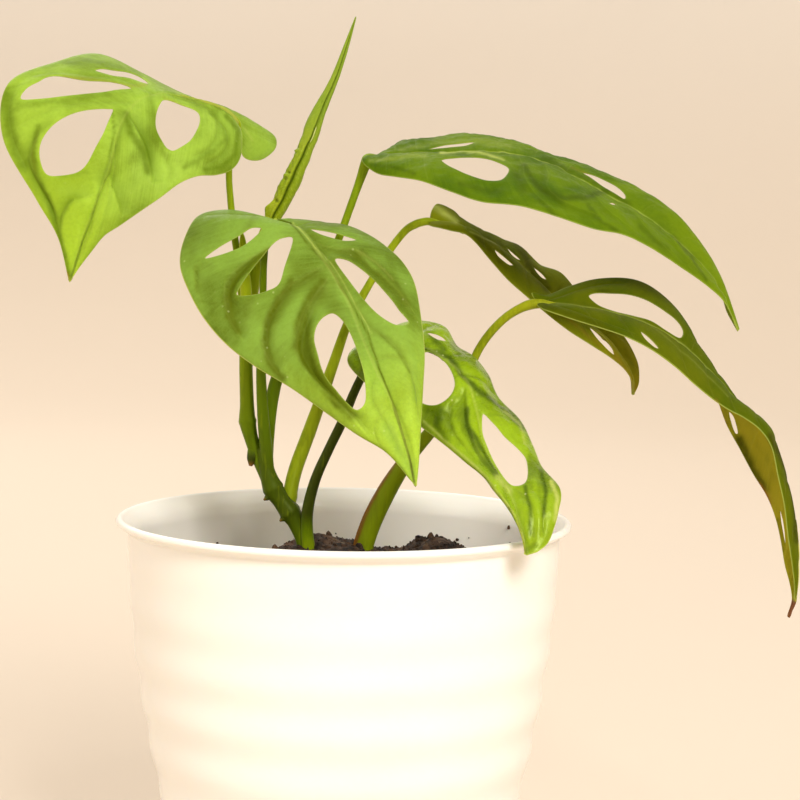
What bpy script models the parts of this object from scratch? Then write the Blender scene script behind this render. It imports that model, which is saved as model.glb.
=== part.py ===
"""A young monstera adansonii with pierced leaves, planted in a rippled white pot.

The plant is laid out on a drawing sheet that stands upright through the pot's axis and is seen
from the front, a little from above. A point of the sheet is (across, down, depth): across and
down in sheet units, depth in millimetres behind the sheet. Each point slides along its own line
of sight to its depth, so the front view keeps its outline whatever the depths are.
"""
from math import cos, hypot, pi, radians, sin

import bmesh
import bpy
from mathutils import Vector, geometry

COLLECTION = "monstera_adansonii"

# Pot, in metres
POT_HEIGHT = 0.125
RIM_RADIUS = 0.070
NECK_RADIUS = 0.0664
FOOT_RADIUS = 0.0450
WALL = 0.0020
FLOOR_THICKNESS = 0.0030
FOOT_BEVEL = 0.0025
LIP_DROP = 0.0040
RIPPLE_HEIGHT = 0.00045
RIPPLE_SPACING = 0.0155
RIPPLE_START = 0.0065
BELLY = 1.75
RIPPLE_STEPS = 4
POT_SIDES = 40

# Soil, in metres
SOIL_LEVEL = 0.1080
SOIL_RINGS = (0.0560, 0.0480, 0.0400, 0.0320, 0.0240, 0.0160, 0.0080)
MOUNDS = ((-0.006, 0.012, 0.0074, 0.017), (0.031, 0.024, 0.0068, 0.012))

INNER_HEIGHTS = (FLOOR_THICKNESS, 0.030, 0.060, 0.085, SOIL_LEVEL)
HOLE_CLEARANCE = 0.00055
HOLE_DEEPER = 3.0

# Plant, in metres
BLADE_THICKNESS = 0.0008
GAP = 0.0003
MAP_WIDTH = 4
RIM_CLEARANCE = 0.3
SCROLL_SIDES = 12
SCROLL_START = 2.2

# Drawing sheet
SHEET_UNIT = 0.000308
SHEET_CENTRE = 400.0
SIGHT_LENGTH = 0.750
SIGHT_FALL = radians(5.4)
SHEET_TURN = radians(1.0)
RIM_CENTRE_ON_SHEET = (344.3, 516.5)
MM = 0.001

SIGHT = Vector((0.0, cos(SIGHT_FALL), -sin(SIGHT_FALL)))
LEVEL = Vector((1.0, 0.0, 0.0))
UPRIGHT = Vector((0.0, sin(SIGHT_FALL), cos(SIGHT_FALL)))
ACROSS = LEVEL * cos(SHEET_TURN) + UPRIGHT * sin(SHEET_TURN)
UP = UPRIGHT * cos(SHEET_TURN) - LEVEL * sin(SHEET_TURN)
FOCUS = SIGHT_LENGTH / SHEET_UNIT
EYE = (Vector((0.0, 0.0, POT_HEIGHT)) - SIGHT * SIGHT_LENGTH
       - ACROSS * (RIM_CENTRE_ON_SHEET[0] - SHEET_CENTRE) * SHEET_UNIT
       + UP * (RIM_CENTRE_ON_SHEET[1] - SHEET_CENTRE) * SHEET_UNIT)


def spot(point):
    """The place of a sheet point (across, down, depth) in the model."""
    across, down, depth = point
    ray = SIGHT * FOCUS + ACROSS * (across - SHEET_CENTRE) - UP * (down - SHEET_CENTRE)
    return EYE + ray * ((depth * MM - EYE.y) / ray.y)


def seen_at(place):
    """Where a place of the model is seen on the sheet."""
    offset = place - EYE
    scale = FOCUS / offset.dot(SIGHT)
    return (SHEET_CENTRE + offset.dot(ACROSS) * scale, SHEET_CENTRE - offset.dot(UP) * scale)


def on_curve(points, t):
    """A smooth curve through the points, at t from 0 to len(points) - 1."""
    last = len(points) - 1
    i = min(max(int(t), 0), last - 1)
    f = t - i
    a = points[max(i - 1, 0)]
    b = points[i]
    c = points[i + 1]
    d = points[min(i + 2, last)]
    return (b * 2 + (c - a) * f + (a * 2 - b * 5 + c * 4 - d) * f ** 2
            + (b * 3 - a - c * 3 + d) * f ** 3) * 0.5


# Leaf blades. Each row gives the midrib, the left edge and the right edge of one line across the
# blade, from the leaf stalk to the tip. "puff" is how far each half swells between midrib and
# edge, in millimetres. "holes" are outlines on the sheet, each with the half that it pierces.
LEFT_LEAF = {
    "rows": [
        ((237, 128, 6), (240, 131, 9), (239, 126, 5)),
        ((232, 122, 5), (257, 160, 14), (242, 138, 1)),
        ((225, 115, 4), (272, 150, 19), (240, 158, -3)),
        ((214, 108, 3), (277, 139, 24), (231, 170, -6)),
        ((200, 101, 1), (253, 138, 26), (216, 175, -10)),
        ((184, 96, -1), (224, 121, 27), (198, 176, -14)),
        ((167, 93, -4), (186, 97, 26), (180, 183, -17)),
        ((150, 95, -7), (141, 73, 19), (161, 197, -20)),
        ((139, 100, -9), (98, 54, 11), (145, 208, -21)),
        ((129, 110, -12), (56, 62, 3), (132, 217, -22)),
        ((118, 132, -15), (8, 84, -8), (119, 226, -23)),
        ((110, 162, -19), (3, 138, -14), (104, 236, -24)),
        ((98, 198, -22), (36, 199, -20), (91, 252, -25)),
        ((84, 234, -24), (58, 238, -23), (79, 268, -26)),
        ((69.5, 282, -26), (68.5, 280, -26), (71, 281, -26)),
    ],
    "puff": ((-0.5, -1.5, 1.6), (0.5, -3.5, -1.0)),
    "holes": [
        ("left", [(148, 84), (132, 79), (114, 76), (96, 71), (101, 69), (118, 71), (138, 76)]),
        ("left", [(131, 88), (110, 91), (84, 94), (57, 97), (38, 99), (21, 99), (26, 89), (38, 82), (54, 76),
                  (90, 81)]),
        ("left", [(113, 111), (105, 130), (96, 147), (87, 164), (76, 173), (58, 176), (46, 174), (40, 160),
                  (41, 142), (51, 127), (67, 116), (88, 110), (107, 109)]),
        ("right", [(165, 100), (181, 105), (196, 111), (200, 118), (198, 128), (190, 141), (176, 150),
                   (168, 149), (162, 141), (156, 128), (156, 115), (160, 104)]),
    ],
    "colour": (0.36, 0.56, 0.08),
}

FRONT_LEAF = {
    "rows": [
        ((268, 223, -4), (262, 223, -2), (275, 221, -2)),
        ((280, 221, -5), (246, 213, 2), (284, 220.5, 3)),
        ((290, 223, -7), (221, 210, 4), (300, 222.5, 7)),
        ((300, 229, -10), (197, 217, 1), (322, 224, 8)),
        ((312, 243, -14), (184, 240, -4), (345, 225, 5)),
        ((325, 262, -18), (180, 264, -9), (369, 235, 0)),
        ((338, 283, -21), (187, 287, -14), (389, 249, -5)),
        ((349, 304, -24), (203, 317, -19), (404, 264, -10)),
        ((358, 327, -27), (226, 344, -24), (415, 285, -16)),
        ((367, 349, -30), (256, 367, -28), (421, 318, -22)),
        ((377, 371, -33), (291, 388, -32), (424.5, 352, -28)),
        ((389, 396, -36), (325, 412, -36), (423, 388, -33)),
        ((400, 426, -39), (356, 434, -39), (421, 424, -37)),
        ((409, 458, -41), (388, 454, -41), (419, 458, -40)),
        ((415.5, 487, -42), (414, 485, -42), (417, 485, -42)),
    ],
    "puff": ((-0.8, -3.5, 0.5), (1.0, -2.5, 1.5)),
    "holes": [
        ("left", [(262, 229), (252, 228), (239, 236), (221, 246), (205, 258), (217, 256), (232, 251),
                  (243, 246), (254, 238)]),
        ("left", [(293, 239), (283, 238), (274, 243), (262, 257), (250, 272), (241, 285), (237, 295),
                  (253, 295), (267, 291), (279, 284), (285, 266)]),
        ("left", [(335, 314), (325, 316), (317, 325), (314, 339), (318, 356), (325, 376), (335, 389),
                  (346, 402), (356, 410), (364, 405), (366, 394), (364, 374), (357, 350), (347, 327)]),
        ("right", [(311, 229), (330, 232), (345, 236), (356, 240), (345, 241), (332, 238), (320, 234)]),
        ("right", [(335, 260), (347, 260), (360, 268), (373, 279), (386, 293), (399, 310), (409, 323),
                   (396, 325), (380, 316), (364, 300), (350, 282)]),
    ],
    "colour": (0.13, 0.33, 0.05),
}

TOP_RIGHT_LEAF = {
    "rows": [
        ((367, 158, 12), (366, 156, 14), (364, 160, 11)),
        ((375, 157, 12), (371, 158, 18), (362, 160, 8)),
        ((386, 156, 13), (379, 157, 23), (366, 166, 5)),
        ((402, 154, 14), (389, 150, 28), (379, 174, 1)),
        ((422, 153, 15), (402, 142, 33), (397, 177, -3)),
        ((444, 153, 16), (428, 140, 38), (421, 181, -8)),
        ((470, 152, 16), (454, 135, 42), (449, 191, -12)),
        ((497, 152, 16), (484, 137, 44), (482, 202, -15)),
        ((524, 156, 16), (514, 144, 43), (520, 206, -16)),
        ((550, 164, 15), (548, 158, 41), (558, 217, -15)),
        ((577, 178, 14), (582, 166, 36), (594, 229, -13)),
        ((605, 194, 13), (614, 178, 30), (624, 235, -11)),
        ((636, 211, 11), (646, 193, 24), (651, 248, -8)),
        ((664, 231, 9), (676, 214, 18), (679, 266, -4)),
        ((692, 256, 7), (701, 243, 13), (706, 285, -1)),
        ((716, 284, 5), (721, 277, 9), (725, 303, 1)),
        ((738.5, 331, 2), (739.5, 329, 3), (737, 330, 2)),
    ],
    "puff": ((0.3, -0.5, 2.0), (-0.5, -3.0, 2.0)),
    "holes": [
        ("left", [(429, 149.5), (444, 145.5), (460, 143.5), (474, 142.5), (466, 145.8), (452, 147.4),
                  (440, 148.5)]),
        ("right", [(442, 160), (456, 158), (472, 157.5), (487, 159), (499, 163), (509, 169), (503, 179),
                   (490, 181), (474, 177), (459, 171), (447, 165)]),
        ("left", [(583, 173), (594, 175.5), (606, 181), (617, 187), (625, 195), (624, 199), (614, 193),
                  (602, 186), (591, 178)]),
    ],
    "colour": (0.10, 0.30, 0.03),
}

BACK_RIGHT_LEAF = {
    "rows": [
        ((430, 221, 22), (430, 219, 24), (429, 223.5, 21)),
        ((437, 222, 23), (432, 210, 27), (431, 226, 18)),
        ((447, 224, 24), (438, 204, 33), (440, 228, 15)),
        ((459, 227, 26), (450, 210, 39), (452, 231, 14)),
        ((472, 233, 28), (464, 223, 43), (465, 234, 15)),
        ((486, 240, 30), (480, 231, 46), (476, 243, 17)),
        ((503, 250, 32), (499, 239, 48), (491, 261, 19)),
        ((521, 265, 34), (519, 246, 50), (508, 280, 21)),
        ((538, 281, 35), (540, 265, 51), (526, 296, 22)),
        ((556, 298, 36), (561, 273, 50), (547, 314, 23)),
        ((574, 312, 36), (580, 295, 48), (569, 331, 24)),
        ((592, 326, 36), (605, 321, 45), (591, 345, 25)),
        ((608, 340, 35), (624, 337, 42), (611, 358, 27)),
        ((622, 358, 34), (637, 361, 38), (625, 370, 29)),
        ((632, 377, 33), (639, 381, 35), (632, 382, 31)),
        ((633, 395, 32), (634.5, 394, 32), (631.5, 394, 32)),
    ],
    "puff": ((0.3, -0.3, 1.5), (0.2, -1.2, 1.8)),
    "holes": [
        ("right", [(495, 250), (503, 256), (510, 262), (513, 265), (509, 265), (502, 260), (497, 255)]),
        ("left", [(507, 248), (513, 253), (520, 259.5), (517, 259), (511, 254)]),
        ("left", [(534, 268), (540, 272), (546, 279), (542, 278), (537, 273)]),
        ("right", [(590, 328), (600, 334), (609, 343), (614, 354), (610, 352), (602, 344), (595, 336)]),
    ],
    "colour": (0.08, 0.15, 0.01),
}

LONG_RIGHT_LEAF = {
    "rows": [
        ((537, 303, 3), (536, 301, 4), (537, 305, 2)),
        ((545, 303, 3), (532, 293, 6), (540, 308, -1)),
        ((560, 304, 3), (545, 296, 9), (550, 312, -5)),
        ((583, 307, 3), (568, 287, 12), (574, 320, -9)),
        ((609, 312, 2), (597, 279, 15), (600, 328, -12)),
        ((634, 319, 1), (631, 279, 16), (626, 337, -14)),
        ((659, 330, 0), (656, 290, 16), (650, 349, -15)),
        ((683, 345, -1), (679, 313, 16), (674, 366, -16)),
        ((703, 363, -3), (694, 344, 15), (694, 384, -17)),
        ((721, 381, -5), (707, 372, 15), (711, 398, -17)),
        ((738, 400, -7), (717, 398, 13), (727, 409, -18)),
        ((757, 414, -9), (727, 425, 10), (744, 418, -19)),
        ((771, 430, -11), (740, 449, 7), (761, 431, -20)),
        ((776, 449, -12), (754, 475, 4), (776, 452, -21)),
        ((779, 473, -13), (767, 496, 1), (788, 476, -21)),
        ((784, 500, -14), (776, 519, -3), (795, 505, -20)),
        ((787, 527, -14), (781, 541, -6), (798, 535, -19)),
        ((791, 555, -14), (785, 565, -9), (799, 565, -18)),
        ((795, 580, -14), (791, 584, -12), (798, 586, -16)),
        ((795, 602, -14), (793.5, 601, -14), (796.5, 601, -14)),
    ],
    "puff": ((0.8, -0.8, 1.5), (-0.3, -1.5, 1.5)),
    "holes": [
        ("left", [(589, 297), (594, 293.5), (610, 293.5), (627, 294.5), (646, 300), (663, 310), (677, 321),
                  (683, 331), (680, 338), (667, 331), (651, 321), (634, 316), (614, 311), (598, 305)]),
        ("right", [(641, 332), (647, 336), (658, 347.5), (654, 347), (645, 339)]),
        ("left", [(729, 412), (734, 417), (738, 432), (735, 433), (731, 422)]),
    ],
    "colour": (0.09, 0.22, 0.02),
}

RIM_LEAF = {
    "rows": [
        ((386, 337, -1), (383, 341, -2), (389, 332, 0)),
        ((392, 338, -2), (367, 343, 0), (397, 325, 4)),
        ((402, 340, -4), (352, 350, -2), (413, 321, 7)),
        ((414, 343, -7), (348, 363, -6), (431, 322, 8)),
        ((428, 348, -10), (362, 380, -11), (446, 328, 6)),
        ((443, 357, -13), (385, 398, -16), (457, 346, 3)),
        ((458, 370, -17), (405, 414, -21), (473, 356, -2)),
        ((470, 388, -21), (424, 429, -26), (487, 373, -7)),
        ((477, 411, -26), (446, 446, -31), (499, 398, -13)),
        ((482, 437, -31), (466, 463, -36), (520, 420, -20)),
        ((492, 462, -37), (483, 477, -41), (533, 446, -28)),
        ((506, 484, -43), (494, 491, -45), (542, 467, -36)),
        ((515, 506, -49), (507, 507, -49), (560, 489, -43)),
        ((521, 527, -53), (517, 524, -52), (558, 513, -49)),
        ((525, 543, -55), (523, 540, -55), (549, 541, -54)),
        ((527, 555, -57), (524, 554, -57), (537, 552, -57)),
    ],
    "puff": ((-0.5, -3.0, 0.0), (1.0, -2.5, 0.5)),
    "holes": [
        ("right", [(428, 333), (438, 335), (446, 341), (438, 340), (431, 336)]),
        ("left", [(426, 352), (437, 354), (446, 363), (454, 378), (454, 389), (447, 399), (436, 405),
                  (424, 404), (414, 396), (410, 380), (414, 362)]),
        ("right", [(483, 414), (494, 424), (505, 437), (518, 449), (526, 459), (528, 472), (525, 483),
                   (514, 486), (504, 480), (494, 465), (486, 448), (482, 430)]),
    ],
    "colour": (0.13, 0.36, 0.03),
}

BLADES = {
    "leaf_left": LEFT_LEAF,
    "leaf_front": FRONT_LEAF,
    "leaf_top_right": TOP_RIGHT_LEAF,
    "leaf_back_right": BACK_RIGHT_LEAF,
    "leaf_long_right": LONG_RIGHT_LEAF,
    "leaf_over_rim": RIM_LEAF,
}

# Stems. Each point is a sheet point and the radius there in millimetres.
VINE_STEMS = {
    "trunk": [(311, 590, 8, 2.9), (309, 562, 8, 2.9), (305, 541, 8, 2.8), (297, 523, 8, 2.8),
              (290, 512, 8, 3.2), (281, 500, 8, 2.8), (273, 488, 8, 3.1), (267, 470, 8, 2.4), (264, 448, 8, 2.1)],
    "left_stalk": [(271, 487, 8, 2.2), (264, 470, 9, 2.2), (257, 454, 10, 2.2), (251, 437, 10, 2.2),
                   (247.5, 421, 10, 2.6), (247, 404, 10, 2.2), (246, 370, 10, 2.1), (246, 340, 10, 2.1),
                   (243, 300, 10, 1.5), (238, 260, 10, 1.15), (234, 232, 10, 1.1), (231, 205, 10, 1.05),
                   (229, 178, 9, 1.0), (230, 156, 9, 1.1), (234.5, 135.5, 7.8, 1.2)],
    "young_stalk": [(247, 350, 10, 1.9), (249, 318, 11, 2.2), (252, 285, 12, 2.4), (258, 255, 12, 2.2),
                    (268, 227, 12, 1.9)],
    "sheath": [(247, 330, 10, 1.8), (246, 290, 8, 1.7), (243, 255, 7, 1.2), (241.5, 236, 7, 0.35)],
    "front_stalk": [(268, 474, 8, 2.0), (266, 448, 7, 2.0), (263, 415, 6, 1.8), (261, 371, 5, 1.5),
                    (262, 330, 4, 1.2), (263, 292, 3, 1.1), (264, 258, 1, 1.1), (267.3, 226.5, -3.0, 1.1)],
    "top_right_stalk": [(267, 462, 9, 1.9), (268, 436, 10, 2.0), (271, 405, 11, 2.1), (278, 375, 12, 1.9),
                        (293, 338, 12, 1.5), (312, 298, 12, 1.3), (327, 265, 12, 1.2), (339, 238, 12, 1.2),
                        (350, 208, 12, 1.2), (359, 183, 12, 1.3), (366, 163, 12, 1.6)],
    "back_right_stalk": [(288, 514, 8, 2.0), (290, 494, 10, 2.2), (296, 468, 13, 2.2), (311, 427, 16, 2.1),
                         (332, 368, 18, 1.7), (347, 325, 19, 1.4), (362, 297, 20, 1.3), (373, 278, 20, 1.2),
                         (388, 253, 20, 1.2), (404, 232, 21, 1.2), (415, 224.5, 21.5, 1.3),
                         (425.5, 221.5, 22, 1.2)],
    "rim_stalk": [(311, 580, 7, 2.0), (309, 552, 6, 2.0), (307, 530, 5, 1.9), (308, 508, 4, 1.8),
                  (316, 478, 4, 1.6), (329, 449, 4, 1.5), (343, 420, 4, 1.5), (353, 395, 4.5, 1.4),
                  (365, 370, 5, 1.3), (376, 352, 3.2, 1.2), (385.4, 338.8, -0.1, 1.0)],
    "bud_low": [(291, 515, 8, 1.6), (284, 518, 7, 1.1), (280, 521, 6, 0.3)],
    "bud_mid": [(273, 492, 8, 1.6), (268, 497, 7, 1.1), (264, 500, 6, 0.3)],
    "bud_high": [(252, 452, 10, 1.8), (250, 460, 8, 1.3), (249, 467, 7, 0.4)],
}
RIGHT_STEMS = {
    "long_stalk": [(361, 585, 12, 3.2), (362, 556, 12, 3.2), (366, 537, 12, 3.2), (375, 514, 12, 3.2),
                   (391, 484, 12, 2.9), (410, 456, 11, 2.3), (432, 430, 10, 1.9), (452, 405, 10, 1.5),
                   (464, 384, 9, 1.4), (471, 367, 8, 1.3),
                   (479, 349, 8, 1.3), (491, 332, 7, 1.3), (505, 318, 6, 1.3), (519, 309, 5, 1.4),
                   (534, 304, 4, 1.6)],
}

# The rolled new leaf: a scroll along a line, with its width in millimetres at each point
ROLLED_LEAF = [(269, 225, 12, 4.2), (275, 212, 12, 5.2), (283, 195, 12, 5.6), (293, 174, 12, 5.3),
               (304, 148, 12, 5.5), (315, 121, 12, 4.8), (326, 96, 12, 3.5), (338, 68, 12, 2.4),
               (347, 43, 12, 1.6), (356, 18, 12, 0.6)]


def material(name, colour, roughness):
    """A plain finish with no metal in it."""
    made = bpy.data.materials.new(name)
    made.use_nodes = True
    shader = made.node_tree.nodes["Principled BSDF"]
    shader.inputs["Base Color"].default_value = (*colour, 1.0)
    shader.inputs["Roughness"].default_value = roughness
    shader.inputs["Metallic"].default_value = 0.0
    return made


def add_object(name, data, collection):
    """A new object in the collection."""
    made = bpy.data.objects.new(name, data)
    collection.objects.link(made)
    return made


def baked(obj, collection):
    """The object with its modifiers applied, or a curve as a closed mesh."""
    bpy.context.view_layer.update()
    evaluated = obj.evaluated_get(bpy.context.evaluated_depsgraph_get())
    mesh = bpy.data.meshes.new_from_object(evaluated)
    name = obj.name
    bpy.data.objects.remove(obj)
    shape = bmesh.new()
    shape.from_mesh(mesh)
    bmesh.ops.remove_doubles(shape, verts=shape.verts, dist=1e-6)
    bmesh.ops.recalc_face_normals(shape, faces=shape.faces)
    shape.to_mesh(mesh)
    shape.free()
    return add_object(name, mesh, collection)


def turned(name, profile, sides, collection):
    """A solid of revolution round +Z from (radius, height) points, outer side top to bottom."""
    shape = bmesh.new()
    points = [shape.verts.new((radius, 0.0, height)) for radius, height in profile]
    for a, b in zip(points, points[1:]):
        shape.edges.new((a, b))
    mesh = bpy.data.meshes.new(name)
    shape.to_mesh(mesh)
    shape.free()
    made = add_object(name, mesh, collection)
    screw = made.modifiers.new("turn", "SCREW")
    screw.steps = sides
    screw.render_steps = sides
    screw.use_merge_vertices = True
    screw.merge_threshold = 0.00005
    return made


def taper(height):
    """The pot's smooth, slightly bellied taper, from foot to neck."""
    rise = height / (POT_HEIGHT - LIP_DROP)
    return FOOT_RADIUS + (NECK_RADIUS - FOOT_RADIUS) * (1 - (1 - rise) ** BELLY)


def outer_radius(height):
    """The pot's outer wall, with shallow ripples that fade out at the foot and the neck."""
    rise = height / (POT_HEIGHT - LIP_DROP)
    fade = min(1.0, rise * 8) * min(1.0, (1 - rise) * 5)
    return taper(height) + RIPPLE_HEIGHT * fade * cos(2 * pi * (height - RIPPLE_START) / RIPPLE_SPACING)


def inner_radius(height):
    """The pot's smooth inner wall."""
    return taper(height) - WALL - RIPPLE_HEIGHT


def pot(collection):
    """The rippled pot with its thin flared lip and plain flat bottom."""
    neck = POT_HEIGHT - LIP_DROP
    profile = [(0.0, FLOOR_THICKNESS)]
    profile += [(inner_radius(height), height) for height in (*INNER_HEIGHTS, neck)]
    profile += [(RIM_RADIUS - 0.0024, POT_HEIGHT - 0.0006), (RIM_RADIUS - 0.0016, POT_HEIGHT),
                (RIM_RADIUS - 0.0004, POT_HEIGHT - 0.0004), (RIM_RADIUS, POT_HEIGHT - 0.0012),
                (RIM_RADIUS - 0.0008, POT_HEIGHT - 0.0022)]
    steps = round((neck - FOOT_BEVEL) / RIPPLE_SPACING * RIPPLE_STEPS)
    for i in range(steps + 1):
        height = neck + (FOOT_BEVEL - neck) * i / steps
        profile.append((outer_radius(height), height))
    profile += [(FOOT_RADIUS - FOOT_BEVEL, 0.0), (0.0, 0.0)]
    return turned("pot", profile, POT_SIDES, collection)


def soil_height(x, y):
    """The height of the loose top of the soil, mounded round the stems."""
    height = SOIL_LEVEL + 0.0007 * sin(x * 310 + 1.3) * sin(y * 270 + 0.4) + 0.0005 * sin(x * 160 - y * 190)
    for centre_x, centre_y, rise, spread in MOUNDS:
        reach = hypot(x - centre_x, y - centre_y) / spread
        height += rise / (1 + reach ** 4)
    return height


def soil(collection, cutters):
    """The soil that fills the pot, with a plain hole for each stem."""
    wall = [(inner_radius(height) - GAP, height) for height in reversed(INNER_HEIGHTS[1:])]
    floor = FLOOR_THICKNESS + GAP
    profile = [(0.0, SOIL_LEVEL)]
    profile += [(radius, SOIL_LEVEL) for radius in reversed(SOIL_RINGS)]
    profile += wall + [(inner_radius(floor) - GAP, floor), (0.0, floor)]
    made = baked(turned("soil", profile, POT_SIDES, collection), collection)
    for vertex in made.data.vertices:
        if vertex.co.z > SOIL_LEVEL - 1e-5:
            x, y, _ = vertex.co
            edge = min(1.0, (inner_radius(SOIL_LEVEL) - GAP - hypot(x, y)) / 0.006)
            vertex.co.z += (soil_height(x, y) - SOIL_LEVEL) * max(edge, 0.0)
    for cutter in cutters:
        cut = made.modifiers.new("hole", "BOOLEAN")
        cut.operation = "DIFFERENCE"
        cut.object = cutter
    return made


def stem(name, points, collection, swell=0.0, per_span=2):
    """A tapering stalk through sheet points, each with its radius in millimetres."""
    path = [spot(point[:3]) for point in points]
    radii = [Vector((point[3], 0.0, 0.0)) for point in points]
    data = bpy.data.curves.new(name, "CURVE")
    data.dimensions = "3D"
    data.bevel_depth = MM
    data.bevel_resolution = 2
    data.use_fill_caps = True
    line = data.splines.new("POLY")
    count = (len(points) - 1) * per_span + 1
    line.points.add(count - 1)
    for i, point in enumerate(line.points):
        t = i / per_span
        point.co = (*on_curve(path, t), 1.0)
        point.radius = max(on_curve(radii, t).x, 0.15) + swell / MM
    return add_object(name, data, collection)


def fused(name, stems, collection, scratch):
    """One solid from several stalks."""
    parts = [baked(stem(name + "_" + key, points, scratch), scratch) for key, points in stems.items()]
    whole = parts[0]
    others = bpy.data.collections.new(name + "_others")
    scratch.children.link(others)
    for part in parts[1:]:
        scratch.objects.unlink(part)
        others.objects.link(part)
    if parts[1:]:
        join = whole.modifiers.new("join", "BOOLEAN")
        join.operation = "UNION"
        join.operand_type = "COLLECTION"
        join.collection = others
        join.solver = "EXACT"
    made = baked(whole, collection)
    made.name = name
    for part in parts[1:]:
        bpy.data.objects.remove(part)
    bpy.data.collections.remove(others)
    return made


def blade_guides(blade):
    """The midrib, left edge and right edge of a blade as places of the model."""
    return [[spot(row[i]) for row in blade["rows"]] for i in range(3)]


def blade_place(guides, puff, u, v):
    """A place on a blade: u runs from -1 at the left edge to 1 at the right, v from stalk to tip."""
    middle = on_curve(guides[0], v)
    side = 0 if u < 0 else 1
    edge = on_curve(guides[1 + side], v)
    f = abs(u)
    last = len(guides[0]) - 1
    ease = min(1.0, v / 3.0) * min(1.0, (last - v) / 3.0)
    return middle + (edge - middle) * f + Vector(puff[side]) * (MM * ease * 4 * f * (1 - f))


def on_blade(guides, puff, half, point):
    """The (u, v) of the blade that is seen at a sheet point, on its left or right half."""
    last = len(guides[0]) - 1
    sign = -1 if half == "left" else 1

    def miss(u, v):
        across, down = seen_at(blade_place(guides, puff, u, v))
        return Vector((across - point[0], down - point[1]))

    tries = [(sign * i / 20, j / 5) for i in range(1, 21) for j in range(last * 5 + 1)]
    u, v = min(tries, key=lambda uv: miss(*uv).length)
    step = 0.01
    for _ in range(6):
        here = miss(u, v)
        along_u = (miss(u + sign * step, v) - here) / (sign * step)
        along_v = (miss(u, v + step) - here) / step
        size = along_u.x * along_v.y - along_u.y * along_v.x
        if abs(size) < 1e-6:
            break
        u -= (here.x * along_v.y - here.y * along_v.x) / size
        v -= (along_u.x * here.y - along_u.y * here.x) / size
        u = sign * min(max(abs(u), 0.03), 0.95)
        v = min(max(v, 0.1), last - 0.1)
    return Vector((u, v))


def inside(point, outline):
    """Whether a flat point lies inside a closed outline."""
    within = False
    for a, b in zip(outline, outline[1:] + outline[:1]):
        if (a.y > point.y) != (b.y > point.y):
            if point.x < (b.x - a.x) * (point.y - a.y) / (b.y - a.y) + a.x:
                within = not within
    return within


def blade_border(last):
    """The border of a blade on its flat map: along the right edge, round the tip and back."""
    rows = [i / 2 for i in range(last * 2 + 1)]
    right = [Vector((MAP_WIDTH, v)) for v in rows]
    left = [Vector((-MAP_WIDTH, v)) for v in reversed(rows)]
    return right + [Vector((0, last))] + left + [Vector((0, 0))]


def blade_grid(last, holes):
    """Points inside a blade's flat map, clear of its holes."""
    rims = [point for hole in holes for point in hole]
    grid = [Vector((i, j / 2)) for j in range(1, last * 2) for i in range(1 - MAP_WIDTH, MAP_WIDTH)]
    clear = [p for p in grid if min(((p - rim).length for rim in rims), default=1.0) > RIM_CLEARANCE]
    return [p for p in clear if not any(inside(p, hole) for hole in holes)]


def leaf(name, blade, collection):
    """A thin waved blade with its holes cut through."""
    guides = blade_guides(blade)
    puff = blade["puff"]
    last = len(blade["rows"]) - 1
    holes = []
    for half, outline in blade["holes"]:
        found = [on_blade(guides, puff, half, point) for point in outline]
        holes.append([Vector((uv.x * MAP_WIDTH, uv.y)) for uv in found])
    points = []
    lines = []
    for outline in [blade_border(last)] + holes:
        start = len(points)
        points += outline
        lines += [(start + i, start + (i + 1) % len(outline)) for i in range(len(outline))]
    points += blade_grid(last, holes)
    flat, _, faces, *_ = geometry.delaunay_2d_cdt(points, lines, [], 0, 1e-5)
    shape = bmesh.new()
    verts = [shape.verts.new(blade_place(guides, puff, p.x / MAP_WIDTH, p.y)) for p in flat]
    for face in faces:
        middle = sum((flat[i] for i in face), Vector((0, 0))) / 3
        if not any(inside(middle, hole) for hole in holes):
            shape.faces.new([verts[i] for i in face])
    bmesh.ops.recalc_face_normals(shape, faces=shape.faces)
    mesh = bpy.data.meshes.new(name)
    shape.to_mesh(mesh)
    shape.free()
    made = add_object(name, mesh, collection)
    body = made.modifiers.new("body", "SOLIDIFY")
    body.thickness = BLADE_THICKNESS
    body.offset = 0.0
    return made


def rolled_leaf(collection):
    """The new leaf, still rolled: a scroll whose free edge overlaps along one side."""
    sides = SCROLL_SIDES
    shape = bmesh.new()
    rings = []
    path = [spot(point[:3]) for point in ROLLED_LEAF]
    widths = [Vector((point[3], 0.0, 0.0)) for point in ROLLED_LEAF]
    count = (len(ROLLED_LEAF) - 1) * 2
    for j in range(count + 1):
        t = j / 2
        centre = on_curve(path, t)
        along = (on_curve(path, min(t + 0.1, count / 2)) - on_curve(path, max(t - 0.1, 0))).normalized()
        out = along.cross(Vector((0, 1, 0))).normalized()
        front = out.cross(along)
        radius = on_curve(widths, t).x * MM / 2
        ring = []
        for i in range(sides):
            angle = 2 * pi * i / sides + SCROLL_START
            reach = radius * (0.80 + 0.26 * i / (sides - 1))
            ring.append(shape.verts.new(centre + (out * cos(angle) + front * sin(angle)) * reach))
        rings.append(ring)
    for low, high in zip(rings, rings[1:]):
        for i in range(sides):
            k = (i + 1) % sides
            shape.faces.new((low[i], low[k], high[k], high[i]))
    shape.faces.new(rings[0])
    shape.faces.new(rings[-1])
    bmesh.ops.recalc_face_normals(shape, faces=shape.faces)
    bmesh.ops.triangulate(shape, faces=shape.faces)
    mesh = bpy.data.meshes.new("leaf_rolled")
    shape.to_mesh(mesh)
    shape.free()
    return add_object("leaf_rolled", mesh, collection)


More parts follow.
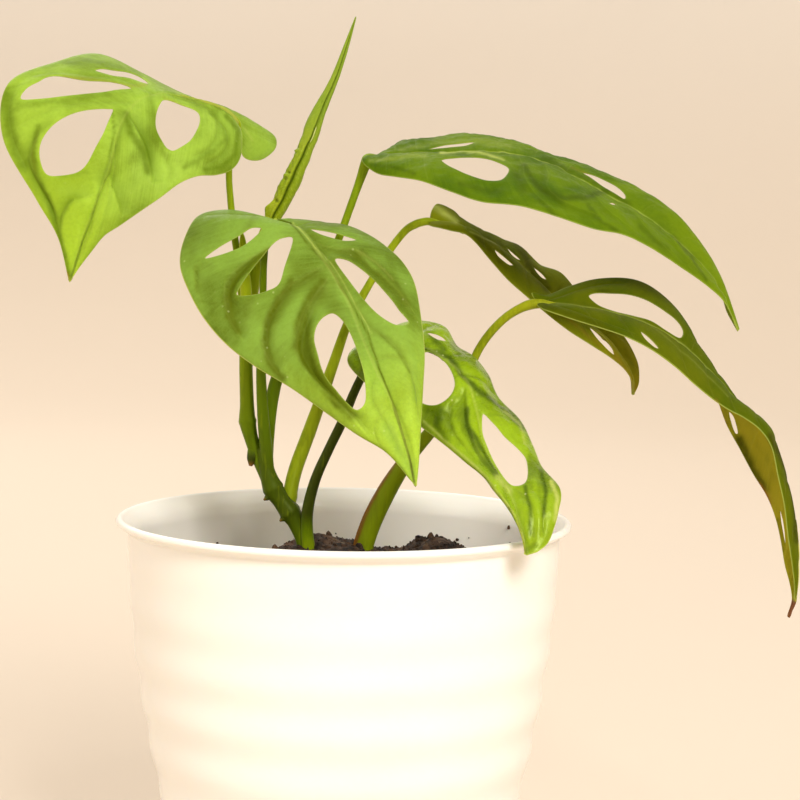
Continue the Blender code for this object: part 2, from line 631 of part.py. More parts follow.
def hole_cutters(scratch):
    """The bottom of each stem, one gap wider, to cut its hole in the soil."""
    feet = {"trunk": VINE_STEMS["trunk"][:4], "rim_stalk": VINE_STEMS["rim_stalk"][:4],
            "long_stalk": RIGHT_STEMS["long_stalk"][:4]}
    cutters = []
    for key, points in feet.items():
        across, down, depth, radius = points[0]
        deeper = [(across, down + HOLE_DEEPER, depth, radius)] + points[1:]
        cutter = baked(stem("hole_" + key, deeper, scratch, swell=HOLE_CLEARANCE), scratch)
        cutter.hide_render = True
        cutter.display_type = "WIRE"
        cutters.append(cutter)
    return cutters


def build():
    """The whole plant and its pot."""
    for obj in list(bpy.data.objects):
        bpy.data.objects.remove(obj)
    whole = bpy.data.collections.new(COLLECTION)
    scratch = bpy.data.collections.new("cutters")
    bpy.context.scene.collection.children.link(whole)
    bpy.context.scene.collection.children.link(scratch)
    pieces = {"pot": pot(whole), "soil": soil(whole, hole_cutters(scratch))}
    pieces["vine"] = fused("vine", VINE_STEMS, whole, scratch)
    pieces["right_stem"] = fused("right_stem", RIGHT_STEMS, whole, scratch)
    pieces["leaf_rolled"] = rolled_leaf(whole)
    finishes = {"pot": ((0.90, 0.88, 0.85), 0.25), "soil": ((0.05, 0.03, 0.02), 0.95),
                "vine": ((0.18, 0.25, 0.03), 0.45), "right_stem": ((0.22, 0.27, 0.03), 0.45),
                "leaf_rolled": ((0.33, 0.45, 0.05), 0.4)}
    for name, blade in BLADES.items():
        pieces[name] = leaf(name, blade, whole)
        finishes[name] = (blade["colour"], 0.38)
    for name, piece in pieces.items():
        colour, roughness = finishes[name]
        piece.data.materials.clear()
        piece.data.materials.append(material(name, colour, roughness))


build()
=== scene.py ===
"""The looks of a young monstera adansonii in a rippled white pot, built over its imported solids.

The plant is laid out on the drawing sheet that its solids use: a sheet point is (across, down,
depth), with across and down in sheet units and depth in millimetres behind the upright plane
through the pot's axis. Each point slides along its own line of sight to its depth. A place on a
leaf blade is (u, v): u runs from -1 at the left edge to 1 at the right, v from stalk to tip.
"""
from math import ceil, cos, hypot, pi, radians, sin, tau

import bmesh
import bpy
import numpy as np
from mathutils import Matrix, Vector, geometry, noise


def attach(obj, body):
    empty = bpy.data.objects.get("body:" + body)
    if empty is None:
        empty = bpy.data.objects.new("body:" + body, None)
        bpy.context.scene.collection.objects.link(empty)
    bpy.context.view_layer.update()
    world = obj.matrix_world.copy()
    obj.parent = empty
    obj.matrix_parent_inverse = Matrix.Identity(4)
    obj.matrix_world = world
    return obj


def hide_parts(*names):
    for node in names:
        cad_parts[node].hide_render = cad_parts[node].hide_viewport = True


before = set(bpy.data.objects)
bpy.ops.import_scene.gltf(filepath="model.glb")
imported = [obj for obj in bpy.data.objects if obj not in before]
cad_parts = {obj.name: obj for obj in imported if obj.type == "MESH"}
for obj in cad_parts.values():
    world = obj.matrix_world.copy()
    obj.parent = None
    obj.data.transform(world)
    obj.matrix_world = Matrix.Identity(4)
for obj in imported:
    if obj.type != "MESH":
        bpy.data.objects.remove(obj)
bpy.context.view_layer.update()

MM = 0.001

# Drawing sheet: its width in sheet units, the metres that a unit is worth at the pot's axis, how far
# from there the eye is, how steeply it looks down, how far it leans to one side, where the middle
# of the pot's rim is on the sheet, and the camera's sensor and nearest reach
SHEET_WIDTH = 800
SHEET_CENTRE = SHEET_WIDTH / 2
SHEET_UNIT = 0.000308
SIGHT_LENGTH = 0.750
SIGHT_FALL = radians(5.4)
SHEET_TURN = radians(1.0)
RIM_CENTRE_ON_SHEET = (344.3, 516.5)
SENSOR_WIDTH = 36.0
NEAREST_SEEN = 0.01

# Pot, in metres
POT_HEIGHT = 0.125
RIM_RADIUS = 0.070
NECK_RADIUS = 0.0664
FOOT_RADIUS = 0.0450
WALL = 0.0020
FLOOR_THICKNESS = 0.0030
FOOT_BEVEL = 0.0025
LIP_DROP = 0.0040
RIPPLE_HEIGHT = 0.00045
RIPPLE_SPACING = 0.0155
RIPPLE_START = 0.0065
RIPPLE_SHARE = 0.8
RIPPLE_UNEVENNESS = 0.5
BELLY = 1.75
INNER_CORNER = 0.0060
POT_SIDES = 180
POT_ROWS = 190

# The lip's section: how far inwards of the widest place, and how far below the top
LIP = ((0.0030, 0.0015), (0.0024, 0.0006), (0.0019, 0.0002), (0.0014, 0.0), (0.0008, 0.00015),
       (0.0003, 0.0006), (0.0, 0.0012), (0.0002, 0.0018), (0.0009, 0.0023), (0.0019, 0.0029),
       (0.0028, 0.0034))

# Soil, in metres. A mound is its place, its rise and its spread.
SOIL_LEVEL = 0.1080
SOIL_DROP = 0.0030
SOIL_SIDES = 150
SOIL_RINGS = 56
SOIL_CLEARANCE = 0.0003
SOIL_CALM_BAND = 0.006
SOIL_FOOT_INSET = 0.0045
SOIL_LEVELS = (0.085, 0.060, 0.030, FLOOR_THICKNESS + 0.0065, FLOOR_THICKNESS + SOIL_CLEARANCE)
MOUNDS = ((-0.006, 0.012, 0.0074, 0.017), (0.0295, 0.024, 0.0068, 0.0105))

# Loose grains: how many to a square metre, their smallest and largest radius, roundness, jaggedness, seed
GRIT = (480000.0, 0.00018, 0.00060, 1, 0.0003, 8)
CRUMBS = (110000.0, 0.00040, 0.0015, 2, 0.0013, 5)

# Specks on the pot's wall: between which bearings in degrees, between which heights, and how many.
# All have the same smallest and largest radius, roundness and jaggedness.
SPECK_PATCHES = ((10, 75, 0.1055, 0.1130, 26000.0), (75, 150, 0.1055, 0.1110, 14000.0),
                 (20, 60, 0.1130, 0.1185, 6000.0))
SPECKS = (0.00018, 0.00085, 2, 0.0005)
SPECK_FIRST_SEED = 11

# A blade's flat map, measured in rows: half its width, the size of its mesh, the gap beside the
# midrib, how clear of a line its mesh stays as a share of its size, how the side veins bend, how
# long its streaks are and how many there are, and how fine its blisters are
MAP_WIDTH = 4.0
MAP_STEP = 0.085
MIDRIB_GAP = 0.035
LINE_CLEARANCE = 0.35
VEIN_BEND = 1.6
STREAK_LENGTH = 3.0
STREAK_COUNT = 7.0
BLISTER_SCALE = 210
FINE_BLISTER_SCALE = 480

# A blade's cross-section, in millimetres, and as shares how thick its rim is and how far it bulges
BLADE_THICKNESS = 0.50
RIM_THICKNESS_SHARE = 0.45
RIM_TAPER = 1.2
RIM_BULGE = 0.7
MIDRIB_HEIGHT = 0.75
MIDRIB_WIDTH = 0.75
VALLEY_DEPTH = 0.30
VALLEY_WIDTH = 0.9
RIB_HEIGHT = 0.16
RIB_WIDTH = 0.35

# Stalks and the rolled leaf: sides of their sections, steps between two of their points, the height
# and fineness of the stalks' ridges, and as shares how flat the scroll is and how deep its groove
STALK_SIDES = 22
STALK_STEPS = 8
RIDGE_HEIGHT = 0.00010
RIDGE_SCALE = 420.0
SCROLL_SIDES = 76
SCROLL_STEPS = 12
SCROLL_FLATNESS = 0.88
GROOVE_DEPTH = 0.60

# Studio, in metres. A lamp is its place, what it faces, its size, its power and its colour.
FLOOR_REACH = 1.5
WALL_BEND = 1.2
WALL_TOP = 3.2
FLOOR_SIDES = 96
PLANT_MIDDLE = (0.0, 0.0, 0.15)
LAMPS = {
    "window": ((0.50, -1.15, 0.95), PLANT_MIDDLE, 0.5, 18.0, (1.0, 0.97, 0.90)),
    "fill": ((-1.25, -0.60, 0.80), PLANT_MIDDLE, 1.0, 5.0, (1.0, 0.93, 0.84)),
    "behind": ((-0.60, 1.30, 1.25), PLANT_MIDDLE, 1.0, 8.0, (1.0, 0.97, 0.92)),
    "wall": ((0.0, 0.60, 2.20), (0.0, 3.0, 0.6), 1.5, 13.0, (1.0, 0.97, 0.93)),
}
SURROUND_COLOUR = (1.0, 0.955, 0.89, 1.0)
SURROUND_STRENGTH = 0.62

SIGHT = np.array((0.0, cos(SIGHT_FALL), -sin(SIGHT_FALL)))
LEVEL = np.array((1.0, 0.0, 0.0))
UPRIGHT = np.array((0.0, sin(SIGHT_FALL), cos(SIGHT_FALL)))
ACROSS = LEVEL * cos(SHEET_TURN) + UPRIGHT * sin(SHEET_TURN)
UP = UPRIGHT * cos(SHEET_TURN) - LEVEL * sin(SHEET_TURN)
FOCUS = SIGHT_LENGTH / SHEET_UNIT
EYE = (np.array((0.0, 0.0, POT_HEIGHT)) - SIGHT * SIGHT_LENGTH
       - ACROSS * (RIM_CENTRE_ON_SHEET[0] - SHEET_CENTRE) * SHEET_UNIT
       + UP * (RIM_CENTRE_ON_SHEET[1] - SHEET_CENTRE) * SHEET_UNIT)

# Leaf blades. Each row gives the midrib, the left edge and the right edge of one line across the
# blade, from the leaf stalk to the tip. "puff" is how far each half swells between midrib and
# edge, in millimetres. "holes" are outlines on the sheet, each with the half that it pierces.
LEFT_LEAF = {
    "rows": [
        ((238, 126, 6), (240, 132, 9), (240, 127, 5)),
        ((235, 119, 5), (243, 156, 13), (242, 138, 1)),
        ((229, 111.5, 4), (260, 160, 18), (240, 158, -3)),
        ((217, 105.5, 3), (275.5, 148, 22), (231, 170, -6)),
        ((202, 100.5, 1), (272, 134, 25), (216, 175, -10)),
        ((184, 95.5, -1), (245, 127, 26.5), (198, 176, -14)),
        ((167, 92.5, -4), (197, 104, 26.5), (180, 183, -17)),
        ((150, 95, -7), (141, 73, 19), (161, 197, -20)),
        ((139, 100, -9), (98, 54, 11), (145, 208, -21)),
        ((129, 110, -12), (56, 62, 3), (132, 217, -22)),
        ((118, 132, -15), (8, 84, -8), (119, 226, -23)),
        ((110, 162, -19), (3, 138, -14), (104, 236, -24)),
        ((98, 198, -22), (36, 199, -20), (91, 252, -25)),
        ((84, 234, -24), (58, 238, -23), (79, 268, -26)),
        ((69.5, 282, -26), (68.5, 280, -26), (71, 281, -26)),
    ],
    "puff": ((-0.5, -1.5, 1.6), (0.5, -3.5, -1.0)),
    "holes": [
        ("left", [(148, 84), (132, 79), (114, 76), (96, 71), (101, 69), (118, 71), (138, 76)]),
        ("left", [(131, 88), (110, 91), (84, 94), (57, 97), (38, 99), (21, 99), (26, 89), (38, 82),
                  (54, 76), (90, 81)]),
        ("left", [(113, 111), (105, 130), (96, 147), (87, 164), (76, 173), (58, 176), (46, 174), (40, 160),
                  (41, 142), (51, 127), (67, 116), (88, 110), (107, 109)]),
        ("right", [(165, 100), (181, 105), (196, 111), (200, 118), (198, 128), (190, 141), (176, 150),
                   (168, 149), (162, 141), (156, 128), (156, 115), (160, 104)]),
    ],
}

FRONT_LEAF = {
    "rows": [
        ((268, 223, -4), (262, 223, -2), (275, 221, -2)),
        ((280, 221, -5), (246, 213, 2), (284, 220.5, 3)),
        ((290, 223, -7), (221, 210, 4), (300, 222.5, 7)),
        ((300, 229, -10), (197, 217, 1), (322, 224, 8)),
        ((312, 243, -14), (184, 240, -4), (345, 225, 5)),
        ((325, 262, -18), (180, 264, -9), (369, 235, 0)),
        ((338, 283, -21), (187, 287, -14), (389, 249, -5)),
        ((349, 304, -24), (203, 317, -19), (404, 264, -10)),
        ((358, 327, -27), (226, 344, -24), (415, 285, -16)),
        ((367, 349, -30), (256, 367, -28), (421, 318, -22)),
        ((377, 371, -33), (291, 388, -32), (424.5, 352, -28)),
        ((389, 396, -36), (325, 412, -36), (423, 388, -33)),
        ((400, 426, -39), (356, 434, -39), (421, 424, -37)),
        ((409, 458, -41), (388, 454, -41), (419, 458, -40)),
        ((415.5, 487, -42), (414, 485, -42), (417, 485, -42)),
    ],
    "puff": ((-0.8, -3.5, 0.5), (1.0, -2.5, 1.5)),
    "holes": [
        ("left", [(262, 229), (252, 228), (239, 236), (221, 246), (205, 258), (217, 256), (232, 251),
                  (243, 246), (254, 238)]),
        ("left", [(293, 239), (283, 238), (274, 243), (262, 257), (250, 272), (241, 285), (237, 295),
                  (253, 295), (267, 291), (279, 284), (285, 266)]),
        ("left", [(335, 314), (325, 316), (317, 325), (314, 339), (318, 356), (325, 376), (335, 389),
                  (346, 402), (356, 410), (364, 405), (366, 394), (364, 374), (357, 350), (347, 327)]),
        ("right", [(311, 229), (330, 232), (345, 236), (356, 240), (345, 241), (332, 238), (320, 234)]),
        ("right", [(335, 260), (347, 260), (360, 268), (373, 279), (386, 293), (399, 310), (409, 323),
                   (396, 325), (380, 316), (364, 300), (350, 282)]),
    ],
}

TOP_RIGHT_LEAF = {
    "rows": [
        ((367, 158, 12), (366, 156, 14), (364, 160, 11)),
        ((375, 157, 12), (371, 158, 18), (362, 160, 8)),
        ((386, 156, 13), (379, 157, 23), (366, 166, 5)),
        ((402, 154, 14), (389, 150, 28), (379, 174, 1)),
        ((422, 153, 15), (402, 142, 33), (397, 177, -3)),
        ((444, 153, 16), (428, 140, 38), (421, 181, -8)),
        ((470, 152, 16), (454, 135, 42), (449, 191, -12)),
        ((497, 152, 16), (484, 137, 44), (482, 202, -15)),
        ((524, 156, 16), (514, 144, 43), (520, 206, -16)),
        ((550, 164, 15), (548, 158, 41), (558, 217, -15)),
        ((577, 178, 14), (582, 166, 36), (594, 229, -13)),
        ((605, 194, 13), (614, 178, 30), (624, 235, -11)),
        ((636, 211, 11), (646, 193, 24), (651, 248, -8)),
        ((664, 231, 9), (676, 214, 18), (679, 266, -4)),
        ((692, 256, 7), (701, 243, 13), (706, 285, -1)),
        ((716, 284, 5), (721, 277, 9), (725, 303, 1)),
        ((738.5, 331, 2), (739.5, 329, 3), (737, 330, 2)),
    ],
    "puff": ((0.3, -0.5, 2.0), (-0.5, -3.0, 2.0)),
    "holes": [
        ("left", [(429, 149.5), (444, 145.5), (460, 143.5), (474, 142.5), (466, 145.8), (452, 147.4),
                  (440, 148.5)]),
        ("right", [(442, 160), (456, 158), (472, 157.5), (487, 159), (499, 163), (509, 169), (503, 179),
                   (490, 181), (474, 177), (459, 171), (447, 165)]),
        ("left", [(583, 173), (594, 175.5), (606, 181), (617, 187), (625, 195), (624, 199), (614, 193),
                  (602, 186), (591, 178)]),
    ],
}

BACK_RIGHT_LEAF = {
    "rows": [
        ((430, 221, 22), (430, 219, 24), (429, 223.5, 21)),
        ((437, 222, 23), (432, 210, 27), (431, 226, 18)),
        ((447, 224, 24), (438, 204, 33), (440, 228, 15)),
        ((459, 227, 26), (450, 210, 39), (452, 231, 14)),
        ((472, 233, 28), (464, 223, 43), (465, 234, 15)),
        ((486, 240, 30), (480, 231, 46), (476, 243, 17)),
        ((503, 250, 32), (499, 239, 48), (491, 261, 19)),
        ((521, 265, 34), (519, 246, 50), (508, 280, 21)),
        ((538, 281, 35), (540, 265, 51), (526, 296, 22)),
        ((556, 298, 36), (561, 273, 50), (547, 314, 23)),
        ((574, 312, 36), (580, 295, 48), (569, 331, 24)),
        ((592, 326, 36), (605, 321, 45), (591, 345, 25)),
        ((608, 340, 35), (624, 337, 42), (611, 358, 27)),
        ((622, 358, 34), (637, 361, 38), (625, 370, 29)),
        ((632, 377, 33), (639, 381, 35), (632, 382, 31)),
        ((633, 395, 32), (634.5, 394, 32), (631.5, 394, 32)),
    ],
    "puff": ((0.3, -0.3, 1.5), (0.2, -1.2, 1.8)),
    "holes": [
        ("right", [(495, 250), (503, 256), (510, 262), (513, 265), (509, 265), (502, 260), (497, 255)]),
        ("left", [(507, 248), (513, 253), (520, 259.5), (517, 259), (511, 254)]),
        ("left", [(534, 268), (540, 272), (546, 279), (542, 278), (537, 273)]),
        ("right", [(590, 328), (600, 334), (609, 343), (614, 354), (610, 352), (602, 344), (595, 336)]),
    ],
}

LONG_RIGHT_LEAF = {
    "rows": [
        ((537, 303, 3), (536, 301, 4), (537, 305, 2)),
        ((545, 303, 3), (532, 293, 6), (540, 308, -1)),
        ((560, 304, 3), (545, 296, 9), (550, 312, -5)),
        ((583, 307, 3), (568, 287, 12), (574, 320, -9)),
        ((609, 312, 2), (597, 279, 15), (600, 328, -12)),
        ((634, 319, 1), (631, 279, 16), (626, 337, -14)),
        ((659, 330, 0), (656, 290, 16), (650, 349, -15)),
        ((683, 345, -1), (679, 313, 16), (674, 366, -16)),
        ((703, 363, -3), (694, 344, 15), (694, 384, -17)),
        ((721, 381, -5), (707, 372, 15), (711, 398, -17)),
        ((738, 400, -7), (717, 398, 13), (727, 409, -18)),
        ((757, 414, -9), (727, 425, 10), (744, 418, -19)),
        ((772, 430, -11), (740, 449, 7), (761, 431, -20)),
        ((779, 450, -12), (754, 475, 4), (772, 449, -21)),
        ((787, 476, -13), (767, 496, 1), (777.5, 475, -21)),
        ((794, 505, -14), (776, 519, -3), (784, 505, -20)),
        ((798, 535, -14), (781, 541, -6), (787.5, 535, -19)),
        ((799, 565, -14), (785, 565, -9), (791.5, 562, -18)),
        ((798, 586, -14), (790, 584, -11), (794, 584, -16)),
        ((795, 602, -14), (792, 601, -13), (793.5, 602, -15)),
        ((788.5, 617, -14), (787.5, 616.5, -14), (789.5, 617.5, -14)),
    ],
    "puff": ((0.8, -0.8, 1.5), (-0.3, -1.5, 1.5)),
    "holes": [
        ("left", [(589, 297), (594, 293.5), (610, 293.5), (627, 294.5), (646, 300), (663, 310), (677, 321),
                  (683, 331), (680, 338), (667, 331), (651, 321), (634, 316), (614, 311), (598, 305)]),
        ("right", [(641, 332), (647, 336), (658, 347.5), (654, 347), (645, 339)]),
        ("left", [(729, 412), (734, 417), (738, 432), (735, 433), (731, 422)]),
    ],
}

RIM_LEAF = {
    "rows": [
        ((386, 337, -1), (383, 341, -2), (389, 332, 0)),
        ((392, 338, -2), (367, 343, 0), (397, 325, 4)),
        ((402, 340, -4), (352, 350, -2), (413, 321, 7)),
        ((414, 343, -7), (348, 363, -6), (431, 322, 8)),
        ((428, 348, -10), (362, 380, -11), (446, 328, 6)),
        ((443, 357, -13), (385, 398, -16), (457, 346, 3)),
        ((458, 370, -17), (405, 414, -21), (473, 356, -2)),
        ((470, 388, -21), (424, 429, -26), (487, 373, -7)),
        ((477, 411, -26), (446, 446, -31), (499, 398, -13)),
        ((482, 437, -31), (466, 463, -36), (520, 420, -20)),
        ((492, 462, -37), (483, 477, -41), (533, 446, -28)),
        ((506, 484, -43), (494, 491, -45), (542, 467, -36)),
        ((515, 506, -49), (507, 507, -49), (560, 489, -43)),
        ((521, 527, -53), (517, 524, -52), (558, 513, -49)),
        ((525, 543, -55), (523, 540, -55), (549, 541, -54)),
        ((527, 555, -57), (524, 554, -57), (537, 552, -57)),
    ],
    "puff": ((-0.5, -3.0, 0.0), (1.0, -2.5, 0.5)),
    "holes": [
        ("right", [(428, 333), (438, 335), (446, 341), (438, 340), (431, 336)]),
        ("left", [(426, 352), (437, 354), (446, 363), (454, 378), (454, 389), (447, 399), (436, 405),
                  (424, 404), (414, 396), (410, 380), (414, 362)]),
        ("right", [(483, 414), (494, 424), (505, 437), (518, 449), (526, 459), (528, 472), (525, 483),
                   (514, 486), (504, 480), (494, 465), (486, 448), (482, 430)]),
    ],
}

BLADES = {
    "leaf_left": LEFT_LEAF,
    "leaf_front": FRONT_LEAF,
    "leaf_top_right": TOP_RIGHT_LEAF,
    "leaf_back_right": BACK_RIGHT_LEAF,
    "leaf_long_right": LONG_RIGHT_LEAF,
    "leaf_over_rim": RIM_LEAF,
}

# Stems. Each point is a sheet point and the radius there in millimetres.
VINE_STEMS = {
    "trunk": [(311, 590, 8, 2.9), (309, 562, 8, 2.9), (305, 541, 8, 2.8), (297, 523, 8, 2.8),
              (290, 512, 8, 3.2), (281, 500, 8, 2.8), (273, 488, 8, 3.1), (267, 470, 8, 2.4),
              (264, 448, 8, 2.1)],
    "left_stalk": [(271, 487, 8, 2.2), (264, 470, 9, 2.2), (257, 454, 10, 2.2), (251, 437, 10, 2.2),
                   (247.5, 421, 10, 2.6), (247, 404, 10, 2.2), (246, 370, 10, 2.1), (246, 340, 10, 2.1),
                   (243, 300, 10, 1.5), (238, 260, 10, 1.15), (234, 232, 10, 1.1), (231, 205, 10, 1.05),
                   (229, 178, 9, 1.0), (230, 156, 9, 1.1), (234.5, 136, 7.8, 1.2), (238, 126, 7.2, 1.1),
                   (235.5, 119.5, 7.4, 0.9), (230, 114, 7.2, 0.5)],
    "young_stalk": [(247, 350, 10, 1.9), (249, 318, 11, 2.2), (252, 285, 12, 2.4), (258, 255, 12, 2.2),
                    (268, 227, 12, 2.0), (272, 218, 12, 1.9)],
    "sheath": [(247, 330, 10, 1.8), (246, 290, 8, 1.8), (243.5, 258, 7, 1.4), (242.6, 241, 7, 1.0),
               (242, 233, 7, 0.35)],
    "front_stalk": [(268, 474, 8, 2.0), (266, 448, 7, 2.0), (263, 415, 6, 1.8), (261, 371, 5, 1.5),
                    (262, 330, 4, 1.2), (263, 292, 3, 1.1), (264, 258, 1, 1.1), (267.3, 226.5, -3.0, 1.1),
                    (271, 222.4, -3.6, 1.0), (281, 221.8, -4.3, 0.8), (291, 224, -6.3, 0.4)],
    "top_right_stalk": [(267, 462, 9, 1.9), (268, 436, 10, 2.0), (271, 405, 11, 2.1), (278, 375, 12, 1.9),
                        (293, 338, 12, 1.5), (312, 298, 12, 1.3), (327, 265, 12, 1.2), (339, 238, 12, 1.2),
                        (350, 208, 12, 1.2), (359, 183, 12, 1.3), (366, 163, 12, 1.7),
                        (368.5, 158.6, 12.3, 1.6), (377, 158, 12.9, 1.1), (388, 157, 13.9, 0.6)],
    "back_right_stalk": [(288, 514, 8, 2.0), (290, 494, 10, 2.2), (296, 468, 13, 2.2), (311, 427, 16, 2.1),
                         (332, 368, 18, 1.7), (347, 325, 19, 1.4), (362, 297, 20, 1.3), (373, 278, 20, 1.2),
                         (388, 253, 20, 1.2), (404, 232, 21, 1.2), (415, 224.5, 21.5, 1.3),
                         (425.5, 221.5, 22, 1.25), (431.5, 222, 22.9, 1.2), (439, 223.2, 23.9, 0.9),
                         (449, 225.3, 25.2, 0.5)],
    "rim_stalk": [(311, 580, 7, 2.0), (309, 552, 6, 2.0), (307, 530, 5, 1.9), (308, 508, 4, 1.8),
                  (316, 478, 4, 1.6), (329, 449, 4, 1.5), (343, 420, 4, 1.5), (353, 395, 4.5, 1.4),
                  (365, 370, 5, 1.3), (376, 352, 3.2, 1.2), (385.4, 338.8, -0.1, 1.05),
                  (388.6, 338, -0.3, 1.0), (395, 338.7, -1.2, 0.8), (404, 341, -3.4, 0.4)],
    "bud_low": [(291, 515, 8, 1.6), (284, 518, 7, 1.1), (280, 521, 6, 0.3)],
    "bud_mid": [(273, 492, 8, 1.6), (268, 497, 7, 1.1), (264, 500, 6, 0.3)],
    "bud_high": [(254, 450, 10, 2.0), (252, 459, 9, 1.6), (250.5, 466, 8.5, 0.5)],
}
RIGHT_STEMS = {
    "dry_edge": [(353, 549, 11, 0.40), (357.5, 534, 11, 0.42), (362.5, 520.5, 11, 0.42),
                 (367, 511, 11, 0.50), (374, 499, 11, 0.42), (381.5, 487.5, 11, 0.40),
                 (388.5, 476.5, 11, 0.35), (395, 467, 11, 0.25)],
    "long_stalk": [(361, 585, 12, 3.2), (362, 556, 12, 3.2), (366, 537, 12, 3.2), (375, 514, 12, 3.2),
                   (391, 484, 12, 2.9), (410, 456, 11, 2.3), (432, 430, 10, 1.9), (452, 405, 10, 1.5),
                   (464, 384, 9, 1.4), (471, 367, 8, 1.3),
                   (479, 349, 8, 1.3), (491, 332, 7, 1.3), (505, 318, 6, 1.3), (519, 309, 5, 1.4),
                   (531, 304.4, 4.2, 1.6), (541, 303.6, 3.8, 1.4), (551, 304.2, 3.8, 0.9),
                   (562, 305, 3.9, 0.5)],
}

# The rolled new leaf: sheet points with the scroll's width in millimetres and how far the groove
# between its two rolls lies to the right, as a share of half its width
ROLLED_LEAF = [(269, 226, 12, 4.3, 0.00), (275, 213, 12, 5.2, 0.00), (282.3, 200, 12, 5.4, 0.05),
               (287, 189.5, 12, 5.9, 0.00), (292.5, 179, 12, 5.9, -0.05), (297, 168, 12, 5.4, -0.05),
               (302.3, 157, 12, 5.1, 0.00), (305.8, 147, 12, 4.9, 0.10), (310, 137, 12, 5.0, 0.25),
               (313, 127, 12, 5.1, 0.36), (318.4, 113, 12, 4.3, 0.40), (324.6, 100, 12, 3.5, 0.28),
               (331, 87, 12, 2.8, 0.25), (338, 70, 12, 2.3, 0.25), (347, 44, 12, 1.6, 0.15),
               (355.5, 18, 12, 0.5, 0.00)]

# Curls and nicks on it: point along the line, turn to the left of the groove, height in millimetres,
# and how far each spreads along and around
CURLS = ((4.05, 0.85, 0.90, 0.16, 0.22), (4.42, 0.75, -0.75, 0.12, 0.32), (3.72, 0.80, -0.60, 0.11, 0.32),
         (1.05, 1.15, 1.00, 0.36, 0.42), (1.75, 0.70, -0.85, 0.13, 0.48), (0.55, 0.55, -0.60, 0.20, 0.25),
         (6.35, 1.35, 0.60, 0.14, 0.30), (6.75, 1.30, -0.45, 0.12, 0.30), (10.75, 0.60, -0.40, 0.16, 0.22),
         (2.9, 0.9, 0.40, 0.30, 0.30), (5.3, 1.0, -0.35, 0.12, 0.35))

# How ripe each stalk is from its foot to its top: 0 fresh and bright, 0.5 olive, 0.8 dark, 1 dry
TONES = {
    "trunk": (0.50, 0.70, 0.62),
    "left_stalk": (0.60, 0.36, 0.30, 0.30),
    # The young stalk and sheath sit at the fresh, bright end, partly as painted light for the light shining
    # through them in the leaves' shade.
    "young_stalk": (0.40, 0.0, 0.0),
    "sheath": (0.20, 0.0, 0.02),
    "front_stalk": (0.60, 0.50, 0.45, 0.66),
    "top_right_stalk": (0.55, 0.40, 0.35),
    "back_right_stalk": (0.22, 0.08, 0.10, 0.16, 0.08),
    "rim_stalk": (0.30, 0.36, 0.76, 0.80, 0.80, 0.78, 0.74, 0.70, 0.60, 0.50),
    "bud_low": (0.5, 0.95),
    "bud_mid": (0.5, 0.95),
    "bud_high": (0.4, 0.80, 1.0),
    "long_stalk": (0.40, 0.40, 0.24, 0.10),
    "dry_edge": (1.0, 1.0),
}

# Rings on the stalks: where along the line, how much wider in millimetres, and how long
RINGS = {
    "trunk": ((4.0, 0.25, 0.20), (6.0, 0.25, 0.20)),
    "left_stalk": ((4.0, 0.22, 0.15),),
    "back_right_stalk": ((0.9, 0.30, 0.18),),
}

